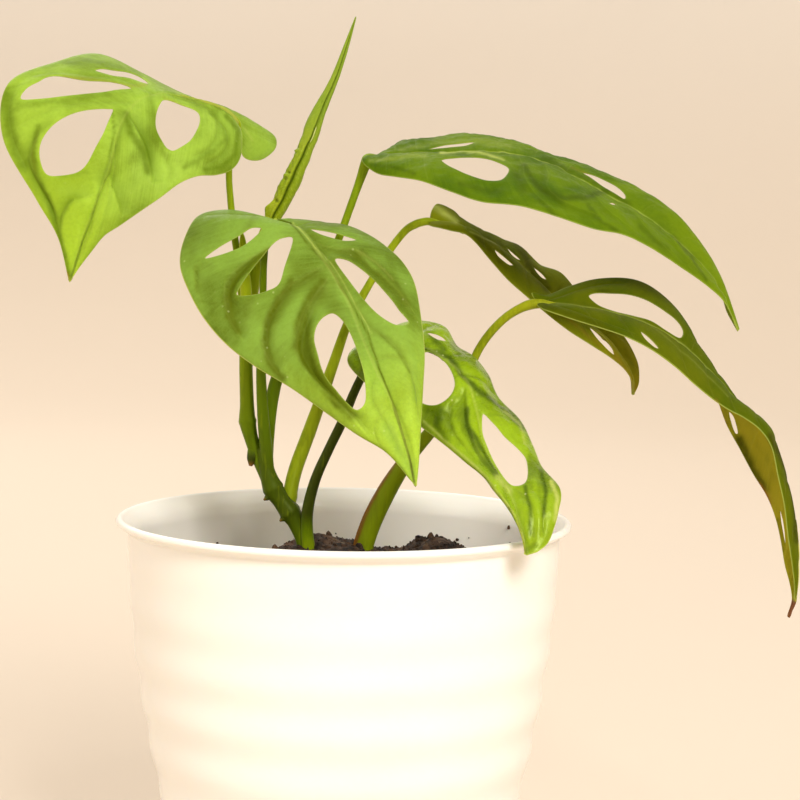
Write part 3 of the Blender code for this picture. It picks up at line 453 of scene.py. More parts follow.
# Veins of each blade. A fold is (depth in mm, steep side, places on the blade's map): 1 and -1 make
# a step that drops on that side of the line, and 0 makes an even groove. "laterals" are the plain
# side veins: for each half, where they leave the midrib; they lean towards the tip by "lean" rows.
VEINS = {
    "leaf_left": {
        "folds": [
            (1.5, -1, [(0.03, 9.2), (0.35, 8.0), (0.60, 7.6), (0.80, 7.5)]),
            (0.8, 0, [(0.03, 5.5), (0.04, 4.0), (0.15, 3.2), (0.39, 3.4), (0.60, 4.1), (0.72, 5.0)]),
            (0.9, 0, [(0.13, 3.5), (0.31, 2.6), (0.61, 2.9), (0.83, 4.4)]),
            (1.0, 1, [(-0.48, 10.5), (-0.67, 11.0), (-0.81, 11.5), (-0.77, 12.1), (-0.83, 12.8),
                      (-0.84, 13.4)]),
            (0.5, 0, [(-0.92, 9.9), (-0.92, 10.6), (-0.90, 11.1), (-0.91, 11.5)]),
            (0.9, 1, [(-0.05, 11.9), (-0.24, 12.1), (-0.41, 12.2), (-0.62, 12.5), (-0.78, 12.9)]),
            (0.8, -1, [(0.04, 11.6), (0.10, 11.2), (0.48, 10.5), (0.73, 10.1), (0.90, 9.9)]),
            (0.4, 0, [(-0.03, 6.8), (-0.25, 7.7), (-0.50, 8.75), (-0.70, 9.1), (-0.90, 9.6)]),
            (0.4, 0, [(-0.03, 8.6), (-0.20, 9.3), (-0.55, 10.25), (-0.85, 10.8)]),
            (0.5, 0, [(0.60, 6.4), (0.67, 6.5), (0.80, 6.3), (0.92, 6.5)]),
        ],
        "laterals": {"left": (2.2, 4.6), "right": (10.4, 12.4)},
        "lean": 1.2,
        "depth": 0.35,
        "blisters": 0.15,
    },
    "leaf_front": {
        "folds": [
            (1.5, -1, [(-0.14, 3.6), (-0.32, 4.3), (-0.53, 5.0), (-0.70, 5.8), (-0.77, 6.4), (-0.83, 7.2),
                       (-0.85, 8.0)]),
            (1.8, -1, [(-0.03, 5.2), (-0.28, 6.0), (-0.49, 6.9), (-0.64, 7.6), (-0.80, 8.6), (-0.90, 9.4)]),
            (2.1, -1, [(-0.03, 5.7), (-0.23, 6.8), (-0.39, 7.8), (-0.53, 8.6), (-0.64, 9.5), (-0.70, 10.3),
                       (-0.71, 11.4), (-0.80, 12.2)]),
            (1.2, 1, [(0.03, 3.9), (0.30, 4.9), (0.47, 5.3), (0.52, 6.5), (0.68, 7.9), (0.85, 8.8)]),
            (0.9, -1, [(0.025, 1.2), (0.030, 2.6), (0.030, 4.4), (0.025, 6.6)]),
            (0.7, 0, [(0.03, 6.5), (0.13, 8.3), (0.35, 9.3), (0.53, 10.2), (0.74, 11.2), (0.88, 12.0)]),
            (0.6, -1, [(-0.82, 4.8), (-0.90, 5.3), (-0.93, 6.0), (-0.95, 6.6)]),
            (0.5, 0, [(-0.03, 10.2), (-0.23, 11.1), (-0.21, 12.2), (-0.28, 13.1)]),
            (0.4, 0, [(0.03, 11.4), (0.15, 12.3), (0.30, 13.0), (0.45, 13.5)]),
        ],
        "laterals": {"left": (1.4, 11.4), "right": (2.4, 9.6)},
        "lean": 1.6,
        "depth": 0.40,
        "blisters": 0.20,
    },
    "leaf_top_right": {
        "folds": [
            (0.5, -1, [(0.03, 7.7), (0.25, 8.0), (0.48, 8.1), (0.69, 8.3), (0.88, 8.8)]),
            (0.9, -1, [(0.03, 8.7), (0.32, 8.9), (0.57, 8.8), (0.72, 9.1), (0.74, 9.6), (0.78, 10.3)]),
            (0.5, -1, [(0.05, 10.0), (0.35, 10.4), (0.60, 10.7), (0.85, 11.6)]),
            (0.5, -1, [(0.05, 11.4), (0.35, 11.8), (0.62, 12.1), (0.86, 12.9)]),
            (0.5, -1, [(0.05, 12.7), (0.40, 13.1), (0.80, 14.0)]),
        ],
        "laterals": {"left": (2.6, 3.8, 7.0, 8.4, 9.6, 12.2, 13.5), "right": (2.6, 4.4)},
        "lean": 0.9,
        "depth": 0.12,
        "blisters": 0.50,
    },
    "leaf_back_right": {
        "folds": [],
        "laterals": {"left": (3.0, 4.6, 5.8, 7.2, 9.0, 10.4, 11.8, 13.0),
                     "right": (3.4, 4.8, 7.4, 8.8, 10.2, 12.6)},
        "lean": 0.9,
        "depth": 0.35,
        "blisters": 0.12,
    },
    "leaf_long_right": {
        "folds": [
            (0.6, 0, [(-0.13, 1.1), (-0.50, 2.2), (-0.66, 3.2), (-0.74, 3.9), (-0.77, 4.6)]),
            (0.5, 0, [(0.10, 1.2), (0.53, 2.3), (0.75, 3.9), (0.80, 5.3)]),
        ],
        "laterals": {"left": (7.4, 8.8, 10.0, 11.6, 13.0, 14.4, 15.8, 17.0),
                     "right": (3.0, 4.4, 6.8, 8.2, 9.6, 11.0, 12.6, 14.2, 15.8)},
        "lean": 1.0,
        "depth": 0.35,
        "blisters": 0.12,
    },
    "leaf_over_rim": {
        "folds": [
            (1.2, 1, [(-0.04, 6.9), (-0.14, 7.5), (-0.23, 8.1), (-0.26, 9.2), (-0.18, 10.0),
                      (-0.15, 10.7)]),
            (0.9, 0, [(0.03, 6.2), (0.28, 6.6), (0.62, 7.2), (0.92, 7.8)]),
            (0.7, 0, [(-0.30, 6.9), (-0.54, 7.3), (-0.67, 7.8), (-0.71, 8.6)]),
            (0.7, 0, [(0.40, 11.4), (0.46, 11.9), (0.53, 12.9), (0.60, 13.6)]),
            (0.6, 0, [(0.10, 11.3), (0.17, 11.7), (0.25, 12.2), (0.29, 12.9), (0.24, 13.7)]),
            (0.6, 0, [(-0.05, 11.0), (-0.30, 11.5), (-0.60, 12.2)]),
        ],
        "laterals": {"left": (2.4, 3.4), "right": (2.4, 5.0, 7.4)},
        "lean": 1.0,
        "depth": 0.45,
        "blisters": 0.45,
    },
}

# Slits too small for the solids, on the sheet
SLITS = {
    "leaf_top_right": [("right", [(609.5, 203.4), (613.0, 202.8), (616.5, 204.4), (613.0, 204.9)])],
    "leaf_long_right": [("left", [(780.0, 510.0), (782.4, 517.0), (784.6, 530.0), (785.6, 545.0),
                                  (783.6, 536.0), (781.2, 522.0)])],
}

# Soft strokes of colour on each blade: (strength, width, line), in sheet units.
# "shade" is painted shade in a hollow, "glow" painted light on a bulge, "pale" thin skin, "dry" withered
# skin.
STROKES = {
    "leaf_left": {
        "shade": [(0.7, 9, [(6, 96), (9, 120), (14, 145), (22, 165)]),
                  (0.8, 4, [(38, 127), (33, 150), (37, 176), (49, 202), (56, 226), (63, 250), (69, 276)]),
                  (0.6, 1.8, [(112, 112), (114, 130), (109, 160), (96, 202), (84, 237), (71, 278)]),
                  (0.8, 4.5, [(126, 114), (131, 134), (144, 153), (148, 172)]),
                  (0.5, 3.5, [(70, 201), (62, 218), (58, 238)]), (0.4, 3.0, [(47, 196), (54, 216)]),
                  (0.5, 3.5, [(213, 112), (222, 124), (225, 139), (215, 150), (200, 159), (184, 168)]),
                  (0.7, 3.0, [(226, 116), (238, 130), (235, 155), (222, 167), (205, 170)]),
                  (0.4, 5, [(118, 112), (121, 130), (116, 160), (112, 180)]),
                  (0.4, 4, [(48, 168), (60, 176), (85, 172)]), (0.5, 5, [(20, 106), (60, 101), (110, 94)]),
                  (0.5, 5, [(20, 70), (60, 62), (100, 62), (140, 74)]), (0.3, 6, [(252, 124), (262, 132)]),
                  (0.5, 4, [(150, 96), (154, 120), (158, 140)]),
                  (0.4, 6, [(150, 85), (190, 100), (215, 112)])],
        "glow": [(0.5, 11, [(160, 168), (135, 190)]), (0.4, 8, [(62, 190), (85, 190)]),
                 (0.4, 6, [(208, 138), (190, 152)])],
        "dry": [(0.35, 2.4, [(62, 77), (95, 80), (130, 86.5), (146, 85)]),
                (0.3, 1.8, [(164, 98), (178, 104), (191, 111)]), (0.5, 1.4, [(67, 272), (69.5, 281)]),
                (0.2, 2.2, [(38, 130), (33, 155), (36, 172)])],
        "pale": [(0.2, 1.5, [(165, 86), (185, 97), (205, 105)]), (0.3, 2.0, [(244, 128), (252, 140)])],
    },
    "leaf_front": {
        "shade": [(0.9, 4.0, [(270, 250), (252, 264), (235, 280), (227, 298), (228, 316), (238, 333)]),
                  (0.9, 4.0, [(291, 282), (276, 301), (267, 322), (264, 343), (270, 364), (283, 378)]),
                  (0.9, 5.0, [(323, 280), (306, 304), (298, 325), (297, 346), (306, 364), (321, 382),
                              (338, 403)]),
                  (0.8, 7.0, [(307, 322), (308, 350), (320, 374), (337, 398), (350, 415)]),
                  (0.8, 1.4, [(291, 223), (306, 242), (329, 266), (350, 301), (368, 334), (380, 370),
                              (392, 400), (410, 460), (414, 482)]),
                  (0.4, 13, [(296, 268), (318, 290), (335, 312)]), (0.5, 10, [(250, 292), (246, 312)]),
                  (0.5, 1.8, [(380, 334), (398, 352), (410, 372)]),
                  (0.6, 3.0, [(361, 252), (380, 267), (396, 284), (408, 303)]),
                  (0.6, 2.4, [(196, 268), (197, 290)]), (0.4, 2.0, [(200, 301), (216, 304)]),
                  (0.4, 5, [(255, 216), (246, 232), (233, 244)]), (0.3, 9, [(195, 230), (190, 262)])],
        "glow": [(0.6, 10, [(388, 430), (405, 460), (413, 480)]),
                 (0.5, 5, [(400, 325), (414, 360), (416, 400)]),
                 (0.4, 5, [(258, 328), (262, 356), (285, 380)]),
                 (0.4, 5, [(290, 318), (288, 350), (303, 376)])],
        "pale": [(0.5, 1.0, [(293, 221), (309, 240), (332, 264), (353, 299), (371, 333)]),
                 (0.3, 1.2, [(356, 250), (376, 263), (393, 280)])],
    },
    "leaf_top_right": {
        "shade": [(0.8, 3.5, [(524, 166), (536, 183), (549, 192), (561, 198), (585, 198), (606, 191)]),
                  (0.6, 3.5, [(543, 158), (573, 173), (606, 188), (630, 205)]),
                  (0.5, 6, [(516, 172), (523, 190)]), (0.6, 3.0, [(540, 200), (552, 214), (566, 222)]),
                  (0.6, 3.0, [(588, 205), (600, 222), (618, 232)]),
                  (0.5, 4.0, [(460, 184), (482, 190), (500, 192)]),
                  (0.5, 3.0, [(640, 225), (655, 240), (668, 248)]),
                  (0.5, 2.5, [(372, 165), (395, 168), (415, 174)]),
                  (0.6, 2.5, [(672, 236), (690, 256), (706, 280)])],
        "glow": [(0.6, 6, [(455, 172), (475, 196), (495, 204)]),
                 (0.7, 5, [(560, 185), (580, 182), (600, 184)]),
                 (0.6, 6, [(620, 220), (650, 232), (680, 250)]), (0.6, 5, [(540, 206), (560, 212)])],
        "dry": [(0.3, 1.5, [(571, 168), (590, 175), (612, 188)])],
        "pale": [(0.6, 1.5, [(440, 153.5), (464, 152.5), (489, 155.5), (504, 160)]),
                 (0.3, 3.0, [(370, 161), (392, 159), (425, 156)]),
                 (0.25, 4, [(400, 150), (440, 143), (480, 142), (510, 147)])],
    },
    "leaf_back_right": {
        "shade": [(0.8, 5, [(505, 232), (520, 248), (533, 271), (547, 289)]),
                  (0.5, 4, [(560, 290), (590, 318)]), (0.5, 3, [(475, 236), (492, 252), (505, 268)]),
                  (0.4, 3, [(625, 350), (634, 372)])],
        "glow": [(0.5, 3, [(500, 268), (520, 288)])],
        "dry": [(0.35, 4, [(608, 345), (625, 372), (634, 388)]),
                (0.3, 3, [(545, 300), (575, 325), (600, 345)])],
        # The first pale stroke here is painted light. It lightens the base lobe, whose visible side lies in
        # shade.
        "pale": [(0.6, 4, [(436, 208), (446, 215), (456, 221)]),
                 (0.4, 1.3, [(470, 232), (500, 246), (530, 272)])],
    },
    "leaf_long_right": {
        "shade": [(0.9, 3.5, [(770, 436), (778, 452), (786, 470), (794, 500), (797, 541)]),
                  (0.9, 6, [(740, 440), (750, 464), (764, 489)]),
                  (0.6, 4, [(600, 292), (640, 300), (668, 322)]),
                  (0.6, 4, [(690, 322), (706, 350), (730, 380)]),
                  (0.5, 5, [(545, 306), (590, 322), (620, 336)]), (0.5, 3, [(778, 520), (783, 550)])],
        "glow": [(0.6, 4, [(660, 345), (690, 372), (720, 398)]),
                 (0.8, 5, [(742, 430), (760, 455), (774, 480)])],
        "dry": [(0.8, 4, [(758, 484), (766, 494), (769, 504)]), (0.4, 2, [(716, 400), (728, 425)])],
        "pale": [(0.2, 1.0, [(545, 303), (595, 308), (640, 318), (670, 341), (700, 368), (728, 397)])],
    },
    "leaf_over_rim": {
        "shade": [(0.9, 3.5, [(426, 349), (449, 357), (465, 378), (476, 389), (487, 397), (506, 411),
                              (522, 428)]),
                  (0.9, 3.0, [(467, 409), (467, 425), (478, 443), (488, 461), (496, 474)]),
                  (0.6, 4.0, [(441, 409), (436, 424), (446, 440)]),
                  (0.8, 2.6, [(540, 471), (546, 492), (544, 515)]),
                  (0.7, 2.6, [(525, 487), (530, 508), (530, 534)]), (0.5, 8, [(428, 410), (440, 418)]),
                  (0.5, 4, [(535, 545), (525, 552)]), (0.7, 4, [(430, 335), (444, 350)]),
                  (0.6, 3, [(490, 372), (499, 394), (512, 404)])],
        "glow": [(0.7, 4, [(454, 419), (463, 438), (476, 456)]), (0.7, 4, [(440, 330), (450, 340)]),
                 (0.6, 4, [(534, 480), (537, 500), (536, 525)]), (0.5, 4, [(478, 372), (488, 385)]),
                 (0.6, 3, [(516, 422), (524, 440), (526, 455)]), (0.8, 4, [(350, 354), (358, 368)])],
        "dry": [(0.3, 1.4, [(517, 520), (522, 540), (525, 553)])],
        "pale": [(0.5, 1.7, [(424, 421), (444, 440), (465, 458), (486, 477), (501, 497), (517, 518),
                             (522, 540)]), (0.8, 2.6, [(551, 482), (557, 498), (555, 520)]),
                 (0.5, 2.0, [(504, 411), (519, 424), (525, 445)]), (0.6, 4, [(497, 478), (510, 490)])],
    },
}
STROKE_KINDS = ("shade", "glow", "pale", "dry")

# Skin of each blade: its colours, how far it is freckled, how pale its margin and midrib are, how
# rough and shiny it is, and where they aren't as usual, its grain and from where its tip is dry
USUAL_GRAIN = 0.35
NO_DRY_TIP = 1.1
# The "fold" colour is the painted shade beside the folds and under the shade strokes.
SKINS = {
    "leaf_left": {"deep": (0.135, 0.215, 0.010), "light": (0.305, 0.475, 0.052),
                  "tip": (0.345, 0.510, 0.028), "fold": (0.095, 0.165, 0.002),
                  "under": (0.330, 0.360, 0.040), "freckles": 0.05, "margin": 0.25, "midrib": 0.10,
                  "gloss": 0.50, "shine": 0.16, "grain": 0.2},
    "leaf_front": {"deep": (0.100, 0.158, 0.008), "light": (0.210, 0.350, 0.045),
                   # The bright tip colour here is partly painted light, standing in for light that passes
                   # through the thin tip.
                   "tip": (0.490, 0.710, 0.055), "fold": (0.082, 0.115, 0.001),
                   "under": (0.300, 0.400, 0.040), "freckles": 0.30, "margin": 0.80, "midrib": 0.15,
                   "gloss": 0.50, "shine": 0.16},
    "leaf_top_right": {"deep": (0.050, 0.105, 0.001), "light": (0.112, 0.185, 0.002),
                       "tip": (0.145, 0.215, 0.004), "fold": (0.042, 0.075, 0.001),
                       "under": (0.220, 0.260, 0.020), "freckles": 0.02,
                       "margin": 0.15, "midrib": 0.40, "gloss": 0.55, "shine": 0.08},
    "leaf_back_right": {"deep": (0.125, 0.160, 0.003), "light": (0.195, 0.215, 0.006),
                        "tip": (0.190, 0.155, 0.004), "fold": (0.070, 0.080, 0.001),
                        "under": (0.230, 0.220, 0.020), "freckles": 0.02,
                        "margin": 0.15, "midrib": 0.45, "gloss": 0.60, "shine": 0.02},
    "leaf_long_right": {"deep": (0.065, 0.096, 0.002), "light": (0.100, 0.122, 0.003),
                        "tip": (0.095, 0.120, 0.002), "fold": (0.042, 0.048, 0.001),
                        "under": (0.310, 0.280, 0.016), "freckles": 0.04,
                        "margin": 0.30, "midrib": 0.30, "gloss": 0.60, "shine": 0.02, "dry_tip": 0.945},
    "leaf_over_rim": {"deep": (0.082, 0.135, 0.002), "light": (0.280, 0.430, 0.008),
                      "tip": (0.250, 0.370, 0.010), "fold": (0.045, 0.085, 0.001),
                      "under": (0.330, 0.420, 0.040), "freckles": 0.90, "margin": 0.40, "midrib": 0.20,
                      "gloss": 0.29, "shine": 0.34, "grain": 0.15},
}


def spots(points):
    """The places of sheet points (across, down, depth) in the model."""
    points = np.array(points, float)
    rays = (SIGHT * FOCUS + np.outer(points[:, 0] - SHEET_CENTRE, ACROSS)
            - np.outer(points[:, 1] - SHEET_CENTRE, UP))
    return EYE + rays * ((points[:, 2] * MM - EYE[1]) / rays[:, 1])[:, None]


def seen_at(places):
    """Where places of the model are seen on the sheet."""
    offsets = places - EYE
    scale = FOCUS / (offsets @ SIGHT)
    return np.stack((SHEET_CENTRE + offsets @ ACROSS * scale, SHEET_CENTRE - offsets @ UP * scale), axis=1)


def on_curve(points, t):
    """Places on a smooth curve through the points, one for each t from 0 to len(points) - 1."""
    points = np.asarray(points, float)
    last = len(points) - 1
    i = np.clip(np.asarray(t).astype(int), 0, last - 1)
    f = (t - i)[:, None]
    a = points[np.maximum(i - 1, 0)]
    b = points[i]
    c = points[i + 1]
    d = points[np.minimum(i + 2, last)]
    return (b * 2 + (c - a) * f + (a * 2 - b * 5 + c * 4 - d) * f ** 2
            + (b * 3 - a - c * 3 + d) * f ** 3) * 0.5


def smooth(value, low, high):
    """An eased step from 0 at low to 1 at high."""
    f = np.clip((value - low) / (high - low), 0.0, 1.0)
    return f * f * (3 - 2 * f)


def unit(runs):
    """Runs made 1 long."""
    return runs / np.maximum(np.linalg.norm(runs, axis=1), 1e-12)[:, None]


def bell(value, width):
    """A soft bump: 1 at 0, and fading out on both sides."""
    return np.exp(-(value / width) ** 2)


def stretch_reach(points, a, b):
    """How far points are from the stretch from a to b, and where along it the nearest place is."""
    run = b - a
    f = np.clip((points - a) @ run / max(run @ run, 1e-18), 0.0, 1.0)
    return np.linalg.norm(points - a - f[:, None] * run, axis=1), f


def add_object(name, data):
    """A new object in the scene."""
    made = bpy.data.objects.new(name, data)
    bpy.context.scene.collection.objects.link(made)
    return made


def soften(mesh):
    """Shades a mesh smoothly."""
    mesh.polygons.foreach_set("use_smooth", [True] * len(mesh.polygons))


def keep_number(mesh, key, values):
    """Keeps a number for each point of a mesh."""
    mesh.attributes.new(key, "FLOAT", "POINT").data.foreach_set("value", np.float32(values).ravel())


def keep_vector(mesh, key, values):
    """Keeps three numbers for each point of a mesh."""
    mesh.attributes.new(key, "FLOAT_VECTOR", "POINT").data.foreach_set("vector", np.float32(values).ravel())


def mesh_of(shape, name):
    """A mesh made from an edited shape."""
    mesh = bpy.data.meshes.new(name)
    shape.to_mesh(mesh)
    shape.free()
    return mesh


def add_ring(shape, inner, radius, around, level):
    """A ring of points round the upright axis, joined to the ring or the middle point before it."""
    ring = []
    for i in range(around):
        x = radius * cos(tau * i / around)
        y = radius * sin(tau * i / around)
        ring.append(shape.verts.new((x, y, level(x, y))))
    for i in range(around):
        k = (i + 1) % around
        if isinstance(inner, list):
            shape.faces.new((inner[i], ring[i], ring[k], inner[k]))
        else:
            shape.faces.new((inner, ring[i], ring[k]))
    return ring


def photo_camera():
    """The camera at the place and angle of view of the photograph."""
    data = bpy.data.cameras.new("photo_camera")
    data.sensor_width = SENSOR_WIDTH
    data.lens = data.sensor_width * FOCUS / SHEET_WIDTH
    data.clip_start = NEAREST_SEEN
    made = add_object("photo_camera", data)
    turn = Matrix((ACROSS, UP, -SIGHT)).transposed()
    made.matrix_world = Matrix.Translation(EYE) @ turn.to_4x4()
    bpy.context.scene.camera = made


def plain_mesh(name, source):
    """The object's evaluated shape as a plain mesh object that stands in its place."""
    bpy.context.view_layer.update()
    evaluated = source.evaluated_get(bpy.context.evaluated_depsgraph_get())
    mesh = bpy.data.meshes.new_from_object(evaluated)
    bpy.data.objects.remove(source)
    return add_object(name, mesh)


def finish_piece(piece, *nodes, slot=None):
    """Ties a piece to the frame: it rides with the plant and stands for the given CAD nodes."""
    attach(piece, "root")
    if nodes:
        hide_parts(*nodes)


# Blades


def blade_guides(blade):
    """The midrib, left edge and right edge of a blade as places of the model."""
    return [spots([row[i] for row in blade["rows"]]) for i in range(3)]


def blade_places(guides, puff, u, v):
    """The places of the blade at the given u and v."""
    middle = on_curve(guides[0], v)
    left_side = (u < 0)[:, None]
    edge = np.where(left_side, on_curve(guides[1], v), on_curve(guides[2], v))
    swell = np.where(left_side, puff[0], puff[1])
    f = np.abs(u)[:, None]
    last = len(guides[0]) - 1
    ease = np.minimum(1.0, v / 3.0) * np.minimum(1.0, (last - v) / 3.0)
    return middle + (edge - middle) * f + swell * (MM * ease[:, None] * 4 * f * (1 - f))


def on_blade(guides, puff, half, outline):
    """Where on the blade's map the points of a sheet outline are seen, on its left or right half."""
    target = np.array(outline, float)
    last = len(guides[0]) - 1
    sign = -1.0 if half == "left" else 1.0
    step = 0.01

    def miss(u, v):
        return seen_at(blade_places(guides, puff, u, v)) - target

    u, v = (grid.ravel() for grid in np.meshgrid(sign * np.arange(1, 21) / 20, np.arange(last * 5 + 1) / 5))
    seen = seen_at(blade_places(guides, puff, u, v))
    nearest = np.argmin(np.linalg.norm(seen[None] - target[:, None], axis=2), axis=1)
    u = u[nearest]
    v = v[nearest]
    for _ in range(6):
        here = miss(u, v)
        along_u = (miss(u + sign * step, v) - here) / (sign * step)
        along_v = (miss(u, v + step) - here) / step
        size = along_u[:, 0] * along_v[:, 1] - along_u[:, 1] * along_v[:, 0]
        size = np.where(np.abs(size) < 1e-6, np.inf, size)
        u = u - (here[:, 0] * along_v[:, 1] - here[:, 1] * along_v[:, 0]) / size
        v = v - (along_u[:, 0] * here[:, 1] - along_u[:, 1] * here[:, 0]) / size
        u = sign * np.clip(np.abs(u), 0.03, 0.95)
        v = np.clip(v, 0.1, last - 0.1)
    return np.stack((u * MAP_WIDTH, v), axis=1)


def rounded(outline, steps):
    """A closed outline made smooth, with more points."""
    count = len(outline)
    wrapped = outline[[-1, *range(count), 0, 1]]
    return on_curve(wrapped, 1 + np.arange(count * steps) / steps)


def inside(points, outline):
    """Which flat points lie inside a closed outline."""
    x, y = points.T
    within = np.zeros(len(points), bool)
    for a, b in zip(outline, np.roll(outline, -1, axis=0)):
        if a[1] != b[1]:
            within ^= ((a[1] > y) != (b[1] > y)) & (x < (b[0] - a[0]) * (y - a[1]) / (b[1] - a[1]) + a[0])
    return within


def beside(places, flat, line, flat_line):
    """For each place: how far it is from a line, on which side of it, and how far along."""
    far = np.full(len(places), np.inf)
    side = np.ones(len(places))
    along = np.zeros(len(places))
    for k in range(len(line) - 1):
        reach, f = stretch_reach(places, line[k], line[k + 1])
        run = flat_line[k + 1] - flat_line[k]
        turn = run[0] * (flat[:, 1] - flat_line[k][1]) - run[1] * (flat[:, 0] - flat_line[k][0])
        nearer = reach < far
        far[nearer] = reach[nearer]
        side[nearer] = np.sign(turn[nearer])
        along[nearer] = ((k + f) / (len(line) - 1))[nearer]
    return far / MM, side, along


def vein_lines(veins):
    """Every vein of a blade as (depth, steep side, line on its map)."""
    made = [(depth, steep, np.array(line)) for depth, steep, line in veins["folds"]]
    for half, starts in veins["laterals"].items():
        sign = -1 if half == "left" else 1
        for start in starts:
            reach = np.linspace(0.02, 0.93, 7)
            line = np.stack((sign * reach, start + veins["lean"] * reach ** VEIN_BEND), axis=1)
            made.append((veins["depth"], 0, line))
    smoothed = []
    for depth, steep, line in made:
        line = line * (MAP_WIDTH, 1.0)
        smoothed.append((depth, steep, on_curve(line, np.linspace(0, len(line) - 1, len(line) * 4 - 3))))
    return smoothed


def blade_sheet(blade, name):
    """The flat map of a blade cut into triangles: its points, its faces and its vein lines."""
    guides = blade_guides(blade)
    puff = np.array(blade["puff"])
    last = len(blade["rows"]) - 1
    slits = SLITS.get(name, [])
    holes = [rounded(on_blade(guides, puff, half, outline), 5) for half, outline in blade["holes"] + slits]
    rows = np.linspace(0.0, last, ceil(last / MAP_STEP) + 1)
    right = np.stack((np.full(len(rows), MAP_WIDTH), rows), axis=1)
    left = np.stack((np.full(len(rows), -MAP_WIDTH), rows[::-1]), axis=1)
    border = np.concatenate((right, [(0.0, last)], left, [(0.0, 0.0)]))
    veins = vein_lines(VEINS[name])
    midrib = np.stack((np.zeros(len(rows)), rows), axis=1)[1:-1]

    half_steps = np.arange(1, round(MAP_WIDTH / MAP_STEP)) * MAP_STEP
    columns = np.concatenate((-half_steps[::-1], (-MIDRIB_GAP, 0.0, MIDRIB_GAP), half_steps))
    across, down = np.meshgrid(columns, rows[1:-1])
    grid = np.stack((across.ravel(), down.ravel()), axis=1)
    keep = np.ones(len(grid), bool)
    fences = [np.concatenate((hole, hole[:1])) for hole in holes] + [line for _, _, line in veins]
    for fence in fences:
        for a, b in zip(fence[:-1], fence[1:]):
            keep &= stretch_reach(grid, a, b)[0] > LINE_CLEARANCE * MAP_STEP
    for hole in holes:
        keep &= ~inside(grid, hole)

    points = []
    lines = []
    closed_lines = [(line, True) for line in [border] + holes]
    open_lines = [(line, False) for line in [midrib] + [line for _, _, line in veins]]
    for outline, closed in closed_lines + open_lines:
        start = len(points)
        points += [Vector(point) for point in outline]
        lines += [(start + i, start + i + 1) for i in range(len(outline) - 1)]
        if closed:
            lines.append((start + len(outline) - 1, start))
    points += [Vector(point) for point in grid[keep]]
    flat, _, faces, *_ = geometry.delaunay_2d_cdt(points, lines, [], 0, 1e-5)
    flat = np.array([tuple(point) for point in flat])
    faces = np.array(faces)
    middles = flat[faces].mean(axis=1)
    cut = np.zeros(len(faces), bool)
    for hole in holes:
        cut |= inside(middles, hole)
    faces = faces[~cut]
    used, faces = np.unique(faces, return_inverse=True)
    return guides, puff, last, flat[used], faces.reshape(-1, 3), veins


def face_turns(places, faces):
    """The normals of the faces, as long as twice their areas."""
    a, b, c = (places[faces[:, i]] for i in range(3))
    return np.cross(b - a, c - a)


def point_turns(places, faces):
    """The unit normals of the points."""
    turns = np.zeros_like(places)
    for i in range(3):
        np.add.at(turns, faces[:, i], face_turns(places, faces))
    return unit(turns)


def open_edges(faces):
    """The directed edges that only one face uses."""
    edges = np.concatenate((faces[:, (0, 1)], faces[:, (1, 2)], faces[:, (2, 0)]))
    _, group, count = np.unique(np.sort(edges, axis=1), axis=0, return_inverse=True, return_counts=True)
    return edges[count[group.ravel()] == 1]


def blade_relief(places, flat, veins, midrib, rim, blisters):
    """How far the blade rises at each point, in millimetres, how near a side vein is, and the shade."""
    steps = np.zeros(len(places))
    shade = np.zeros(len(places))
    grooves = np.zeros(len(places))
    rib = np.full(len(places), 99.0)
    for depth, steep, line, line_places in veins:
        far, side, along = beside(places, flat, line_places, line)
        fade = np.sqrt(np.clip(np.sin(pi * along), 0.0, 1.0))
        if steep:
            past = far * side * steep
            steps -= depth * fade * smooth(past, -0.3, 1.1) * (1 - smooth(past, 1.4, 9.0))
            band = smooth(past, -0.15, 0.25) * (1 - smooth(past, 0.5, 5.2)) * fade * min(1.0, depth / 1.5)
        else:
            band = bell(far, 1.0) * fade * min(1.0, depth / 1.5)
            deep = depth * (0.45 * bell(far, 0.8) + 0.55 * bell(far, 3.0))
            grooves = np.minimum(grooves, -deep)
        shade = np.maximum(shade, band)
        rib = np.minimum(rib, far)
    bumps = np.array([noise.noise(Vector(place) * BLISTER_SCALE)
                      + 0.5 * noise.noise(Vector(place) * FINE_BLISTER_SCALE)
                      for place in places])
    calm = smooth(rim, 0.2, 3.0)
    valley = VALLEY_DEPTH * bell(midrib, VALLEY_WIDTH)
    return (steps + grooves + blisters * bumps) * (0.12 + 0.88 * calm) - valley, rib, shade


def brushed(seen, strokes):
    """How far soft strokes cover each place, from 0 to 1."""
    bare = np.ones(len(seen))
    for strength, width, line in strokes:
        line = np.array(line, float)
        far = np.full(len(seen), np.inf)
        for a, b in zip(line[:-1], line[1:]):
            far = np.minimum(far, stretch_reach(seen, a, b)[0])
        bare *= 1 - strength * bell(far, width)
    return 1 - bare


